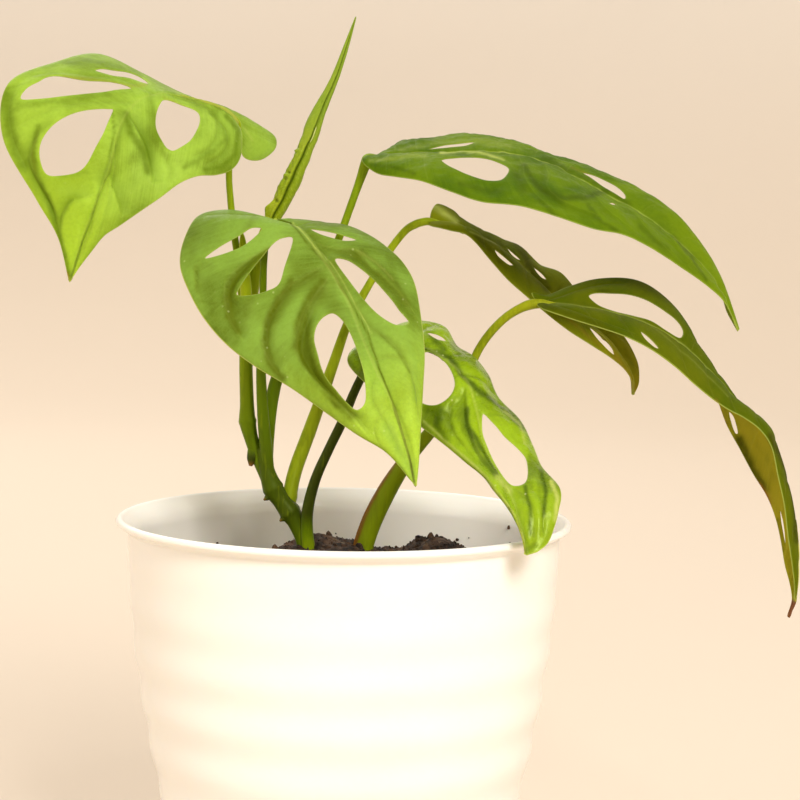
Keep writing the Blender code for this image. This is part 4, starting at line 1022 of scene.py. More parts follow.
def blade(name, data, skin):
    """A finished leaf blade: a thin skin with folds, side veins, a midrib and soft edges."""
    guides, puff, last, flat, faces, veins = blade_sheet(data, name)
    u = flat[:, 0] / MAP_WIDTH
    v = flat[:, 1]
    places = blade_places(guides, puff, u, v)
    turns = face_turns(places, faces)
    if np.sum(turns * (EYE - places[faces[:, 0]])) < 0:
        faces = faces[:, ::-1]
    facing = point_turns(places, faces)

    def placed(line):
        return blade_places(guides, puff, line[:, 0] / MAP_WIDTH, line[:, 1])

    veins = [(depth, steep, line, placed(line)) for depth, steep, line in veins]
    spine = np.stack((np.zeros(last * 4 + 1), np.linspace(0, last, last * 4 + 1)), axis=1)
    midrib, _, _ = beside(places, flat, placed(spine), spine)
    rims = open_edges(faces)
    on_border = (np.abs(u) > 0.9999) | (v < 1e-4) | (v > last - 1e-4)
    rim = np.full(len(places), np.inf)
    margin = np.full(len(places), np.inf)
    for a, b in rims:
        reach, _ = stretch_reach(places, places[a], places[b])
        rim = np.minimum(rim, reach)
        if on_border[a] and on_border[b]:
            margin = np.minimum(margin, reach)
    rim /= MM
    margin /= MM
    rise, rib, shade = blade_relief(places, flat, veins, midrib, rim, VEINS[name]["blisters"])
    middle = places + facing * (rise * MM)[:, None]
    facing = point_turns(middle, faces)
    full = RIM_THICKNESS_SHARE + (1 - RIM_THICKNESS_SHARE) * smooth(rim, 0.0, RIM_TAPER)
    half = BLADE_THICKNESS / 2 * full
    along = v / last
    keel = MIDRIB_HEIGHT * (1.15 - along) * smooth(along, -0.01, 0.03)
    keel *= bell(midrib, MIDRIB_WIDTH)
    keel += RIB_HEIGHT * bell(rib, RIB_WIDTH)
    keel *= smooth(rim, 0.0, 0.8)
    top = middle + facing * (half * MM)[:, None]
    under = middle - facing * ((half + keel) * MM)[:, None]

    out = np.zeros_like(places)
    lip = unit(np.cross(middle[rims[:, 1]] - middle[rims[:, 0]], facing[rims[:, 0]]))
    np.add.at(out, rims[:, 0], lip)
    np.add.at(out, rims[:, 1], lip)
    on_rim = np.unique(rims)
    edge = middle[on_rim] + unit(out[on_rim]) * (half[on_rim] * RIM_BULGE * MM)[:, None]
    count = len(places)
    number = np.zeros(count, int)
    number[on_rim] = np.arange(len(on_rim)) + count * 2
    a, b = rims.T
    upper = np.concatenate((np.stack((b, a, number[a]), axis=1),
                            np.stack((b, number[a], number[b]), axis=1)))
    lower = np.concatenate((np.stack((number[b], number[a], a + count), axis=1),
                            np.stack((number[b], a + count, b + count), axis=1)))
    all_places = np.concatenate((top, under, edge))
    all_faces = np.concatenate((faces, faces[:, ::-1] + count, upper, lower))

    mesh = bpy.data.meshes.new(name)
    mesh.from_pydata(all_places.tolist(), [], all_faces.tolist())
    kept = np.concatenate((np.arange(count), np.arange(count), on_rim))
    below = np.concatenate((np.zeros(count), np.ones(count), np.full(len(on_rim), 0.5)))
    # The strokes and the "fold" share carry painted shade and painted light onto the skin.
    seen = seen_at(places)
    strokes = [(kind, brushed(seen, STROKES[name].get(kind, ()))[kept]) for kind in STROKE_KINDS]
    for key, values in (("rib", rib[kept]), ("midrib", midrib[kept]), ("rim", rim[kept]),
                        ("margin", margin[kept]), ("along", along[kept]), ("fold", shade[kept]),
                        ("below", below), *strokes):
        keep_number(mesh, key, values)
    row = v - VEINS[name]["lean"] * np.abs(u) ** VEIN_BEND
    flow = np.stack((u * STREAK_LENGTH, row * STREAK_COUNT, below[:count]), axis=1)[kept]
    keep_vector(mesh, "flow", flow)
    uv = mesh.uv_layers.new(name="UVMap")
    loops = np.zeros(len(mesh.loops), int)
    mesh.loops.foreach_get("vertex_index", loops)
    on_map = np.stack(((flat[:, 0] / MAP_WIDTH + 1) / 2, along), axis=1)[kept]
    on_map[:, 0] = on_map[:, 0] * 0.49 + 0.5 * (below > 0.75)
    uv.data.foreach_set("uv", on_map[loops].ravel().astype(np.float32))
    soften(mesh)
    mesh.update()
    mesh.materials.append(skin)
    finish_piece(add_object(name + "_blade", mesh), name)


# Shader helpers


def add_node(tree, kind, inputs=(), **settings):
    """A node whose settings are put in place and whose inputs are linked or filled."""
    made = tree.nodes.new(kind)
    for key, value in settings.items():
        setattr(made, key, value)
    for key, value in dict(inputs).items():
        if isinstance(value, bpy.types.NodeSocket):
            tree.links.new(value, made.inputs[key])
        else:
            made.inputs[key].default_value = value
    return made


def value_of(tree, kind, inputs=(), **settings):
    """The first output of a new node."""
    return add_node(tree, kind, inputs, **settings).outputs[0]


def work_out(tree, operation, a, b=0.0):
    """The result of one Math node."""
    return value_of(tree, "ShaderNodeMath", {0: a, 1: b}, operation=operation)


def times(tree, a, b):
    """The product of two values."""
    return work_out(tree, "MULTIPLY", a, b)


def plus(tree, a, b):
    """The sum of two values."""
    return work_out(tree, "ADD", a, b)


def minus(tree, a, b):
    """The first value less the second."""
    return work_out(tree, "SUBTRACT", a, b)


def step_up(tree, value, low, high, start=0.0, end=1.0):
    """An eased step from start at low to end at high."""
    return value_of(tree, "ShaderNodeMapRange", {0: value, 1: low, 2: high, 3: start, 4: end},
                    interpolation_type="SMOOTHSTEP")


def blend(tree, share, a, b, kind="MIX"):
    """Two colours mixed by share."""
    return add_node(tree, "ShaderNodeMix", {0: share, 6: a, 7: b}, data_type="RGBA",
                    blend_type=kind).outputs[2]


def grain(tree, where, scale, detail=2.0, rough=0.5, warp=0.0):
    """A soft noise over the surface."""
    return add_node(tree, "ShaderNodeTexNoise",
                    {"Vector": where, "Scale": scale, "Detail": detail, "Roughness": rough,
                     "Distortion": warp}).outputs["Fac"]


def new_group(name, inputs, outputs):
    """A shader group with named inputs and outputs, and its two end nodes."""
    tree = bpy.data.node_groups.new(name, "ShaderNodeTree")
    for key, kind, value in inputs:
        tree.interface.new_socket(key, in_out="INPUT", socket_type=kind).default_value = value
    for key, kind in outputs:
        tree.interface.new_socket(key, in_out="OUTPUT", socket_type=kind)
    return tree, tree.nodes.new("NodeGroupInput").outputs, tree.nodes.new("NodeGroupOutput").inputs


def new_material(name):
    """An empty node material with its Principled shader."""
    made = bpy.data.materials.new(name)
    made.use_nodes = True
    return made, made.node_tree, made.node_tree.nodes["Principled BSDF"]


def kept_number(tree, key):
    """A number that the mesh keeps for each point."""
    return add_node(tree, "ShaderNodeAttribute", attribute_name=key).outputs["Fac"]


def kept_flow(tree):
    """The three numbers that lay the streaks out along the surface."""
    return add_node(tree, "ShaderNodeAttribute", attribute_name="flow").outputs["Vector"]


def object_place(tree):
    """Where each point of the object is."""
    return tree.nodes.new("ShaderNodeTexCoord").outputs["Object"]


def dress(tree, shader, colour, roughness, height, strength, distance, **sockets):
    """Gives a Principled shader its colour, roughness and fine relief, and fills other sockets."""
    tree.links.new(colour, shader.inputs["Base Color"])
    tree.links.new(roughness, shader.inputs["Roughness"])
    bump = add_node(tree, "ShaderNodeBump", {"Strength": strength, "Distance": distance, "Height": height})
    tree.links.new(bump.outputs[0], shader.inputs["Normal"])
    for key, value in sockets.items():
        shader.inputs[key.replace("_", " ")].default_value = value


def living(shine, weight, radius):
    """The other sockets of thin green skin that some light passes into."""
    return {"Specular_IOR_Level": shine, "Specular_Tint": HIGHLIGHT, "Subsurface_Weight": weight,
            "Subsurface_Radius": radius, "Subsurface_Scale": 0.0010}


COLOUR = "NodeSocketColor"
NUMBER = "NodeSocketFloat"
GREY = (0.5, 0.5, 0.5, 1.0)
HIGHLIGHT = (0.85, 1.0, 0.40, 1.0)
RIB_COLOUR = (0.50, 0.56, 0.13)
FRECKLE_COLOUR = (0.62, 0.66, 0.30, 1.0)
WITHERED_COLOUR = (0.240, 0.110, 0.020, 1.0)
DRY_TIP_COLOUR = (0.170, 0.070, 0.030, 1.0)
DRY_FLANK_COLOUR = (0.21, 0.09, 0.010, 1.0)


def leaf_skin_group():
    """Leaf skin: mottled green, painted shade in the folds, paler on the veins and margin, matt underneath.
    """
    tree, given, result = new_group(
        "leaf_skin",
        [(key, COLOUR, GREY) for key in ("Deep", "Light", "Tip", "Fold Shade", "Under", "Edge")]
        + [("Flow", "NodeSocketVector", (0.0, 0.0, 0.0))]
        + [(edge + " Distance", NUMBER, 9.0) for edge in ("Rib", "Midrib", "Rim", "Margin")]
        + [("Along", NUMBER, 0.5), ("Fold", NUMBER, 0.0), ("Below", NUMBER, 0.0),
           ("Freckles", NUMBER, 0.1), ("Pale Margin", NUMBER, 0.5), ("Pale Midrib", NUMBER, 0.3),
           ("Dry Tip", NUMBER, NO_DRY_TIP), ("Gloss Roughness", NUMBER, 0.4)]
        + [(kind.capitalize(), NUMBER, 0.0) for kind in STROKE_KINDS],
        [("Color", COLOUR), ("Roughness", NUMBER), ("Height", NUMBER)])
    where = object_place(tree)
    streaks = grain(tree, given["Flow"], 1.0, 3.0, 0.6, 0.3)
    clouds = grain(tree, where, 55.0, 2.0, 0.5, 0.4)
    mottle = plus(tree, times(tree, clouds, 0.80), times(tree, streaks, 0.20))
    mottle = step_up(tree, mottle, 0.34, 0.64)
    flesh = blend(tree, mottle, given["Deep"], given["Light"])
    towards_tip = step_up(tree, given["Along"], 0.58, 1.0, 0.0, 0.90)
    flesh = blend(tree, towards_tip, flesh, given["Tip"])
    fine = grain(tree, where, 900.0, 2.0, 0.6)
    flesh = blend(tree, step_up(tree, fine, 0.35, 0.70, 0.0, 0.14), flesh, given["Deep"])
    net = add_node(tree, "ShaderNodeTexVoronoi", {"Vector": where, "Scale": 720.0, "Randomness": 1.0},
                   feature="DISTANCE_TO_EDGE").outputs["Distance"]
    mesh_line = step_up(tree, net, 0.02, 0.11, 1.0, 0.0)
    flesh = blend(tree, times(tree, mesh_line, 0.14), flesh, given["Light"])
    # Painted shade beside the folds.
    flesh = blend(tree, times(tree, given["Fold"], 0.80), flesh, given["Fold Shade"])
    ragged = times(tree, minus(tree, grain(tree, where, 420.0, 3.0, 0.6), 0.5), 0.5)

    def stroke(kind, most):
        """A stroke's cover with a ragged edge."""
        uneven = times(tree, times(tree, ragged, given[kind]), 2.0)
        return step_up(tree, plus(tree, given[kind], uneven), 0.0, 1.0, 0.0, most)

    # Painted light where the glow strokes lie, and painted shade where the shade strokes lie.
    flesh = blend(tree, stroke("Glow", 0.8), flesh, given["Light"])
    flesh = blend(tree, stroke("Shade", 0.9), flesh, given["Fold Shade"])
    near_rib = step_up(tree, given["Rib Distance"], 0.05, 0.40, 0.03, 0.0)
    near_midrib = times(tree, step_up(tree, given["Midrib Distance"], 0.15, 0.90, 1.0, 0.0),
                        given["Pale Midrib"])
    flesh = blend(tree, work_out(tree, "MAXIMUM", near_rib, near_midrib), flesh, given["Edge"])
    dots = add_node(tree, "ShaderNodeTexVoronoi", {"Vector": where, "Scale": 310.0}).outputs["Distance"]
    dots = step_up(tree, dots, 0.05, 0.16, 1.0, 0.0)
    patchy = step_up(tree, grain(tree, where, 60.0), 0.48, 0.62)
    dots = times(tree, times(tree, dots, patchy), given["Freckles"])
    flesh = blend(tree, dots, flesh, FRECKLE_COLOUR)
    flesh = blend(tree, step_up(tree, given["Rim Distance"], 0.05, 0.30, 0.20, 0.0), flesh, given["Edge"])
    edge = times(tree, step_up(tree, given["Margin Distance"], 0.08, 0.42, 1.0, 0.0), given["Pale Margin"])
    flesh = blend(tree, edge, flesh, given["Edge"])
    matt = blend(tree, mottle, blend(tree, 0.45, given["Under"], given["Deep"]), given["Under"])
    pale_rib = step_up(tree, given["Midrib Distance"], 0.35, 0.95, 0.25, 0.0)
    matt = blend(tree, work_out(tree, "MAXIMUM", near_rib, pale_rib), matt, given["Edge"])
    # The same painted light and painted shade on the underside.
    matt = blend(tree, stroke("Glow", 0.6), matt, given["Under"])
    matt = blend(tree, stroke("Shade", 0.85), matt, given["Fold Shade"])
    matt = blend(tree, edge, matt, given["Edge"])
    underneath = step_up(tree, given["Below"], 0.55, 0.95)
    skin = blend(tree, underneath, flesh, matt)
    skin = blend(tree, stroke("Pale", 0.8), skin, given["Edge"])
    skin = blend(tree, stroke("Dry", 1.0), skin, WITHERED_COLOUR)
    past_tip = step_up(tree, minus(tree, given["Along"], given["Dry Tip"]), -0.004, 0.010)
    tree.links.new(blend(tree, past_tip, skin, DRY_TIP_COLOUR), result["Color"])
    rough = plus(tree, given["Gloss Roughness"], step_up(tree, fine, 0.3, 0.7, -0.04, 0.07))
    rough = plus(tree, rough, times(tree, underneath, 0.22))
    tree.links.new(rough, result["Roughness"])
    height = plus(tree, times(tree, mesh_line, -0.35), times(tree, fine, 0.4))
    height = plus(tree, height, times(tree, streaks, 0.9))
    height = plus(tree, height, step_up(tree, given["Rib Distance"], 0.0, 0.5, -0.8, 0.0))
    tree.links.new(height, result["Height"])
    return tree


def leaf_material(name, look, group):
    """The skin of one leaf."""
    made, tree, shader = new_material(name)
    values = {"Freckles": look["freckles"], "Pale Margin": look["margin"], "Pale Midrib": look["midrib"],
              "Dry Tip": look.get("dry_tip", NO_DRY_TIP), "Gloss Roughness": look["gloss"],
              "Edge": (*RIB_COLOUR, 1.0), "Flow": kept_flow(tree)}
    for key, word in (("Deep", "deep"), ("Light", "light"), ("Tip", "tip"), ("Fold Shade", "fold"),
                      ("Under", "under")):
        values[key] = (*look[word], 1.0)
    for key, word in (("Rib Distance", "rib"), ("Midrib Distance", "midrib"), ("Rim Distance", "rim"),
                      ("Margin Distance", "margin"), ("Along", "along"), ("Fold", "fold"),
                      ("Below", "below"), *((kind.capitalize(), kind) for kind in STROKE_KINDS)):
        values[key] = kept_number(tree, word)
    skin = add_node(tree, "ShaderNodeGroup", node_tree=group)
    for key, value in values.items():
        if isinstance(value, bpy.types.NodeSocket):
            tree.links.new(value, skin.inputs[key])
        else:
            skin.inputs[key].default_value = value
    dress(tree, shader, skin.outputs["Color"], skin.outputs["Roughness"], skin.outputs["Height"],
          look.get("grain", USUAL_GRAIN), 0.00016, **living(look["shine"], 0.25, (0.8, 1.0, 0.15)))
    return made


# Geometry node helpers

COUNT = "NodeSocketInt"
FINISH = "NodeSocketMaterial"
SHAPE = "NodeSocketGeometry"


def position(tree):
    """Where each point is."""
    return tree.nodes.new("GeometryNodeInputPosition").outputs[0]


def new_growth(name, inputs):
    """A geometry node tree with named inputs, and its two end nodes."""
    tree = bpy.data.node_groups.new(name, "GeometryNodeTree")
    tree.interface.new_socket("Geometry", in_out="INPUT", socket_type=SHAPE)
    for key, kind, value in inputs:
        socket = tree.interface.new_socket(key, in_out="INPUT", socket_type=kind)
        if value is not None:
            socket.default_value = value
    tree.interface.new_socket("Geometry", in_out="OUTPUT", socket_type=SHAPE)
    return tree, tree.nodes.new("NodeGroupInput").outputs, tree.nodes.new("NodeGroupOutput").inputs


def end_growth(tree, shape, finish, result, soft=True):
    """Ends a tree: soft or sharp faces, real geometry, and the material."""
    shaded = value_of(tree, "GeometryNodeSetShadeSmooth", {"Geometry": shape, "Shade Smooth": soft})
    real = value_of(tree, "GeometryNodeRealizeInstances", {"Geometry": shaded})
    done = value_of(tree, "GeometryNodeSetMaterial", {"Geometry": real, "Material": finish})
    tree.links.new(done, result["Geometry"])


def grown(name, source, tree, values):
    """What a geometry node tree makes from a source object, as a plain mesh object."""
    modifier = source.modifiers.new("growth", "NODES")
    modifier.node_group = tree
    for item in tree.interface.items_tree:
        if item.in_out == "INPUT" and item.name in values:
            modifier[item.identifier] = values[item.name]
    return plain_mesh(name, source)


def mended(piece):
    """The piece with its doubles merged and its faces turned outwards."""
    shape = bmesh.new()
    shape.from_mesh(piece.data)
    bmesh.ops.remove_doubles(shape, verts=shape.verts, dist=1e-6)
    bmesh.ops.recalc_face_normals(shape, faces=shape.faces)
    shape.to_mesh(piece.data)
    shape.free()
    return piece


# Pot


def taper(height):
    """The pot's smooth, slightly bellied taper, from foot to neck."""
    rise = height / (POT_HEIGHT - LIP_DROP)
    return FOOT_RADIUS + (NECK_RADIUS - FOOT_RADIUS) * (1 - (1 - rise) ** BELLY)


def inner_radius(height):
    """The pot's smooth inner wall."""
    return taper(height) - WALL - RIPPLE_HEIGHT


def pot_profile():
    """The pot's section as (radius, height, ripple share), from the inner floor round to the foot."""
    neck = POT_HEIGHT - LIP_DROP
    points = [(0.0, FLOOR_THICKNESS, 0.0)]
    corner_radius = inner_radius(FLOOR_THICKNESS + INNER_CORNER)
    for i in range(5):
        turn = pi / 2 * i / 4
        points.append((corner_radius - INNER_CORNER * (1 - sin(turn)),
                       FLOOR_THICKNESS + INNER_CORNER * (1 - cos(turn)), 0.0))
    points += [(inner_radius(height), height, 0.0) for height in np.linspace(0.012, neck, 30)]
    points += [(RIM_RADIUS - inwards, POT_HEIGHT - drop, 0.0) for inwards, drop in LIP]
    for height in np.linspace(neck, FOOT_BEVEL, POT_ROWS):
        rise = height / neck
        points.append((taper(height), height, min(1.0, rise * 8) * min(1.0, (1 - rise) * 3)))
    for i in range(1, 5):
        turn = pi / 2 * i / 4
        points.append((FOOT_RADIUS - FOOT_BEVEL * (1 - cos(turn)), FOOT_BEVEL * (1 - sin(turn)), 0.0))
    points += [(0.038, 0.0, 0.0), (0.0, 0.0, 0.0)]
    return points


def pot_growth():
    """Turns a section round the upright axis and lays uneven ripples on the outer wall."""
    tree, given, result = new_growth("turned_pot", [
        ("Sides", COUNT, POT_SIDES), ("Ripple Height", NUMBER, 0.0005), ("Ripple Spacing", NUMBER, 0.0155),
        ("Ripple Start", NUMBER, 0.0065), ("Unevenness", NUMBER, 0.5), ("Seed", NUMBER, 3.0),
        ("Finish", FINISH, None)])
    count = value_of(tree, "GeometryNodeAttributeDomainSize", {"Geometry": given["Geometry"]})
    columns = plus(tree, given["Sides"], 1.0)
    grid = value_of(tree, "GeometryNodeMeshGrid",
                    {"Size X": 1.0, "Size Y": 1.0, "Vertices X": columns, "Vertices Y": count})
    place = add_node(tree, "ShaderNodeSeparateXYZ", {0: position(tree)})
    around = times(tree, plus(tree, place.outputs[0], 0.5), tau)
    level = times(tree, plus(tree, place.outputs[1], 0.5), minus(tree, count, 1.0))
    level = work_out(tree, "ROUND", level)
    section = value_of(tree, "GeometryNodeSampleIndex",
                       {"Geometry": given["Geometry"], "Value": position(tree), "Index": level},
                       data_type="FLOAT_VECTOR")
    share = value_of(tree, "GeometryNodeInputNamedAttribute", {"Name": "share"}, data_type="FLOAT")
    share = value_of(tree, "GeometryNodeSampleIndex",
                     {"Geometry": given["Geometry"], "Value": share, "Index": level}, data_type="FLOAT")
    split = add_node(tree, "ShaderNodeSeparateXYZ", {0: section})
    radius = split.outputs[0]
    height = split.outputs[2]
    east = work_out(tree, "COSINE", around)
    north = work_out(tree, "SINE", around)
    ring = add_node(tree, "ShaderNodeCombineXYZ", {0: east, 1: north, 2: times(tree, height, 38.0)})
    wander = value_of(tree, "ShaderNodeTexNoise",
                      {"Vector": ring.outputs[0], "W": given["Seed"], "Scale": 1.1, "Detail": 1.0},
                      noise_dimensions="4D")
    wander = times(tree, minus(tree, wander, 0.5), given["Unevenness"])
    wave = work_out(tree, "DIVIDE", minus(tree, height, given["Ripple Start"]), given["Ripple Spacing"])
    wave = work_out(tree, "COSINE", plus(tree, times(tree, wave, tau), times(tree, wander, 1.6)))
    wave = plus(tree, wave, times(tree, wander, 0.9))
    swell = times(tree, times(tree, wave, given["Ripple Height"]), share)
    reach = plus(tree, radius, swell)
    spot = add_node(tree, "ShaderNodeCombineXYZ",
                    {0: times(tree, reach, east), 1: times(tree, reach, north), 2: height})
    wall = value_of(tree, "GeometryNodeSetPosition", {"Geometry": grid, "Position": spot.outputs[0]})
    closed = value_of(tree, "GeometryNodeMergeByDistance", {"Geometry": wall, "Distance": 0.00001})
    end_growth(tree, closed, given["Finish"], result)
    return tree


def pot(finish):
    """The white pot with its thin lip and shallow uneven ripples."""
    points = pot_profile()
    mesh = bpy.data.meshes.new("pot_section")
    mesh.from_pydata([(radius, 0.0, height) for radius, height, _ in points], [], [])
    keep_number(mesh, "share", [share for _, _, share in points])
    made = grown("rippled_pot", add_object("pot_section", mesh), pot_growth(),
                 {"Sides": POT_SIDES, "Ripple Height": RIPPLE_HEIGHT * RIPPLE_SHARE,
                  "Ripple Spacing": RIPPLE_SPACING, "Ripple Start": RIPPLE_START,
                  "Unevenness": RIPPLE_UNEVENNESS, "Seed": 3.0, "Finish": finish})
    finish_piece(mended(made), "pot")


# Soil


def soil_height(x, y, calm):
    """The height of the loose top of the soil: mounded round the stems and lower along the wall."""
    height = 0.0007 * sin(x * 310 + 1.3) * sin(y * 270 + 0.4) + 0.0005 * sin(x * 160 - y * 190)
    for centre_x, centre_y, rise, spread in MOUNDS:
        reach = hypot(x - centre_x, y - centre_y) / spread
        height += rise / (1 + reach ** 4)
    place = Vector((x, y, 0.0))
    height += 0.0010 * noise.noise(place * 190) + 0.0007 * noise.noise(place * 520)
    return SOIL_LEVEL + height * calm - SOIL_DROP * smooth(hypot(x, y), 0.034, 0.058)


def soil_bed():
    """The soil that fills the pot, with a rough crumbly top."""
    wall = inner_radius(SOIL_LEVEL - SOIL_DROP) - SOIL_CLEARANCE
    shape = bmesh.new()
    last = shape.verts.new((0.0, 0.0, soil_height(0.0, 0.0, 1.0)))
    for j in range(1, SOIL_RINGS + 1):
        radius = wall * j / SOIL_RINGS
        calm = min(1.0, (wall - radius) / SOIL_CALM_BAND)
        last = add_ring(shape, last, radius, SOIL_SIDES, lambda x, y: soil_height(x, y, calm))
    for height in SOIL_LEVELS:
        inwards = SOIL_FOOT_INSET if height < 0.005 else SOIL_CLEARANCE
        last = add_ring(shape, last, inner_radius(height) - inwards, SOIL_SIDES, lambda x, y: height)
    shape.faces.new(last)
    bmesh.ops.recalc_face_normals(shape, faces=shape.faces)
    mesh = mesh_of(shape, "soil_bed")
    soften(mesh)
    return add_object("soil_bed", mesh)


def crumb_growth():
    """Scatters rough crumbs of mixed sizes over a surface."""
    tree, given, result = new_growth("crumbs", [
        ("Per Square Metre", NUMBER, 60000.0), ("Smallest", NUMBER, 0.0004), ("Largest", NUMBER, 0.0020),
        ("Roundness", COUNT, 2), ("Jaggedness", NUMBER, 0.0006), ("Seed", COUNT, 5),
        ("Finish", FINISH, None)])
    scatter = add_node(tree, "GeometryNodeDistributePointsOnFaces", {
        "Mesh": given["Geometry"], "Density": given["Per Square Metre"], "Seed": given["Seed"]})
    lump = value_of(tree, "GeometryNodeMeshIcoSphere", {"Radius": 1.0, "Subdivisions": given["Roundness"]})
    chance = add_node(tree, "FunctionNodeRandomValue", {"Seed": given["Seed"]},
                      data_type="FLOAT").outputs[1]
    mostly_small = work_out(tree, "POWER", chance, 2.6)
    span = minus(tree, given["Largest"], given["Smallest"])
    size = plus(tree, given["Smallest"], times(tree, mostly_small, span))
    stretch = value_of(tree, "FunctionNodeRandomValue",
                       {0: (0.6, 0.5, 0.4), 1: (1.5, 1.1, 0.9), "Seed": 17}, data_type="FLOAT_VECTOR")
    scale = value_of(tree, "ShaderNodeVectorMath", {0: stretch, "Scale": size}, operation="SCALE")
    spin = value_of(tree, "FunctionNodeRandomValue", {0: (0.0, 0.0, 0.0), 1: (tau, tau, tau), "Seed": 29},
                    data_type="FLOAT_VECTOR")
    spread = value_of(tree, "GeometryNodeInstanceOnPoints",
                      {"Points": scatter.outputs["Points"], "Instance": lump, "Rotation": spin,
                       "Scale": scale})
    solid = value_of(tree, "GeometryNodeRealizeInstances", {"Geometry": spread})
    place = position(tree)
    jag = add_node(tree, "ShaderNodeTexNoise", {"Vector": place, "Scale": 900.0,
                                                "Detail": 2.0}).outputs["Color"]
    jag = value_of(tree, "ShaderNodeVectorMath", {0: jag, 1: (0.5, 0.5, 0.5)}, operation="SUBTRACT")
    jag = value_of(tree, "ShaderNodeVectorMath", {0: jag, "Scale": given["Jaggedness"]}, operation="SCALE")
    rough = value_of(tree, "GeometryNodeSetPosition", {"Geometry": solid, "Offset": jag})
    end_growth(tree, rough, given["Finish"], result, soft=False)
    return tree


def wall_patch(name, start, end, low, high):
    """A patch of the pot's inner wall between two bearings, seen from the inside."""
    shape = bmesh.new()
    columns = []
    for i in range(9):
        turn = radians(start + (end - start) * i / 8)
        columns.append([shape.verts.new((cos(turn) * (inner_radius(height) - 0.0002),
                                         sin(turn) * (inner_radius(height) - 0.0002), height))
                        for height in np.linspace(low, high, 4)])
    for a, b in zip(columns, columns[1:]):
        for k in range(3):
            shape.faces.new((a[k], a[k + 1], b[k + 1], b[k]))
    return add_object(name, mesh_of(shape, name))


def grains(name, source, growth, finish, density, smallest, largest, roundness, jaggedness, seed):
    """Loose grains scattered over a surface."""
    return grown(name, source, growth, {"Per Square Metre": density, "Smallest": smallest,
                                        "Largest": largest, "Roundness": roundness,
                                        "Jaggedness": jaggedness, "Seed": seed, "Finish": finish})


def soil(finish):
    """The soil bed, the crumbs that lie on it and the specks that stick to the pot's wall."""
    bed = soil_bed()
    bed.data.materials.append(finish)
    growth = crumb_growth()
    top = bed.data.copy()
    shape = bmesh.new()
    shape.from_mesh(top)
    bmesh.ops.delete(shape, geom=[face for face in shape.faces if face.normal.z < 0.2], context="FACES")
    shape.to_mesh(top)
    shape.free()
    pieces = [grains("soil_grit", add_object("soil_top_copy", top.copy()), growth, finish, *GRIT),
              grains("soil_crumbs", add_object("soil_top", top), growth, finish, *CRUMBS)]
    for k, (start, end, low, high, density) in enumerate(SPECK_PATCHES):
        patch = wall_patch(f"wall_patch_{k}", start, end, low, high)
        pieces.append(grains(f"soil_specks_{k}", patch, growth, finish, density, *SPECKS,
                             SPECK_FIRST_SEED + k))
    finish_piece(bed, "soil")
    for piece in pieces:
        finish_piece(piece, slot="soil")


# Stems


def stalk_growth():
    """A tapering stalk along a line of points, each with its own thickness and tone."""
    tree, given, result = new_growth("stalks", [
        ("Sides", COUNT, STALK_SIDES), ("Ridge Height", NUMBER, 0.00005), ("Ridge Scale", NUMBER, 700.0),
        ("Finish", FINISH, None)])
    line = value_of(tree, "GeometryNodeMeshToCurve", {"Mesh": given["Geometry"]})
    thick = value_of(tree, "GeometryNodeInputNamedAttribute", {"Name": "thickness"}, data_type="FLOAT")
    ring = value_of(tree, "GeometryNodeCurvePrimitiveCircle", {"Resolution": given["Sides"], "Radius": 1.0},
                    mode="RADIUS")
    sweep = add_node(tree, "GeometryNodeCurveToMesh",
                     {"Curve": line, "Profile Curve": ring, "Scale": thick, "Fill Caps": True})
    place = position(tree)
    ridges = value_of(tree, "ShaderNodeTexNoise",
                      {"Vector": place, "Scale": given["Ridge Scale"], "Detail": 1.0})
    ridges = times(tree, minus(tree, ridges, 0.5), given["Ridge Height"])
    facing = tree.nodes.new("GeometryNodeInputNormal").outputs[0]
    push = value_of(tree, "ShaderNodeVectorMath", {0: facing, "Scale": ridges}, operation="SCALE")
    skin = value_of(tree, "GeometryNodeSetPosition", {"Geometry": sweep.outputs[0], "Offset": push})
    end_growth(tree, skin, given["Finish"], result)
    return tree


def stalk_lines(name, stems):
    """The centre lines of several stalks as one mesh of edges, with thickness and tone."""
    places = []
    edges = []
    thickness = []
    shade = []
    for key, points in stems.items():
        count = (len(points) - 1) * STALK_STEPS + 1
        t = np.linspace(0, len(points) - 1, count)
        path = on_curve(spots([point[:3] for point in points]), t)
        radii = on_curve([(point[3], 0.0, 0.0) for point in points], t)[:, 0]
        for at, swell, spread in RINGS.get(key, ()):
            radii = radii + swell * bell(t - at, spread)
        ripeness = TONES[key]
        start = len(places)
        places += path.tolist()
        edges += [(start + i, start + i + 1) for i in range(count - 1)]
        thickness += (np.maximum(radii, 0.12) * MM).tolist()
        shade += np.interp(t, np.linspace(0, len(points) - 1, len(ripeness)), ripeness).tolist()
    mesh = bpy.data.meshes.new(name)
    mesh.from_pydata(places, edges, [])
    keep_number(mesh, "thickness", thickness)
    keep_number(mesh, "tone", shade)
    return add_object(name, mesh)


def stalks(name, node, stems, growth, finish):
    """A finished piece made of several stalks."""
    made = grown(name, stalk_lines(name + "_lines", stems), growth,
                 {"Sides": STALK_SIDES, "Ridge Height": RIDGE_HEIGHT, "Ridge Scale": RIDGE_SCALE,
                  "Finish": finish})
    finish_piece(mended(made), node)


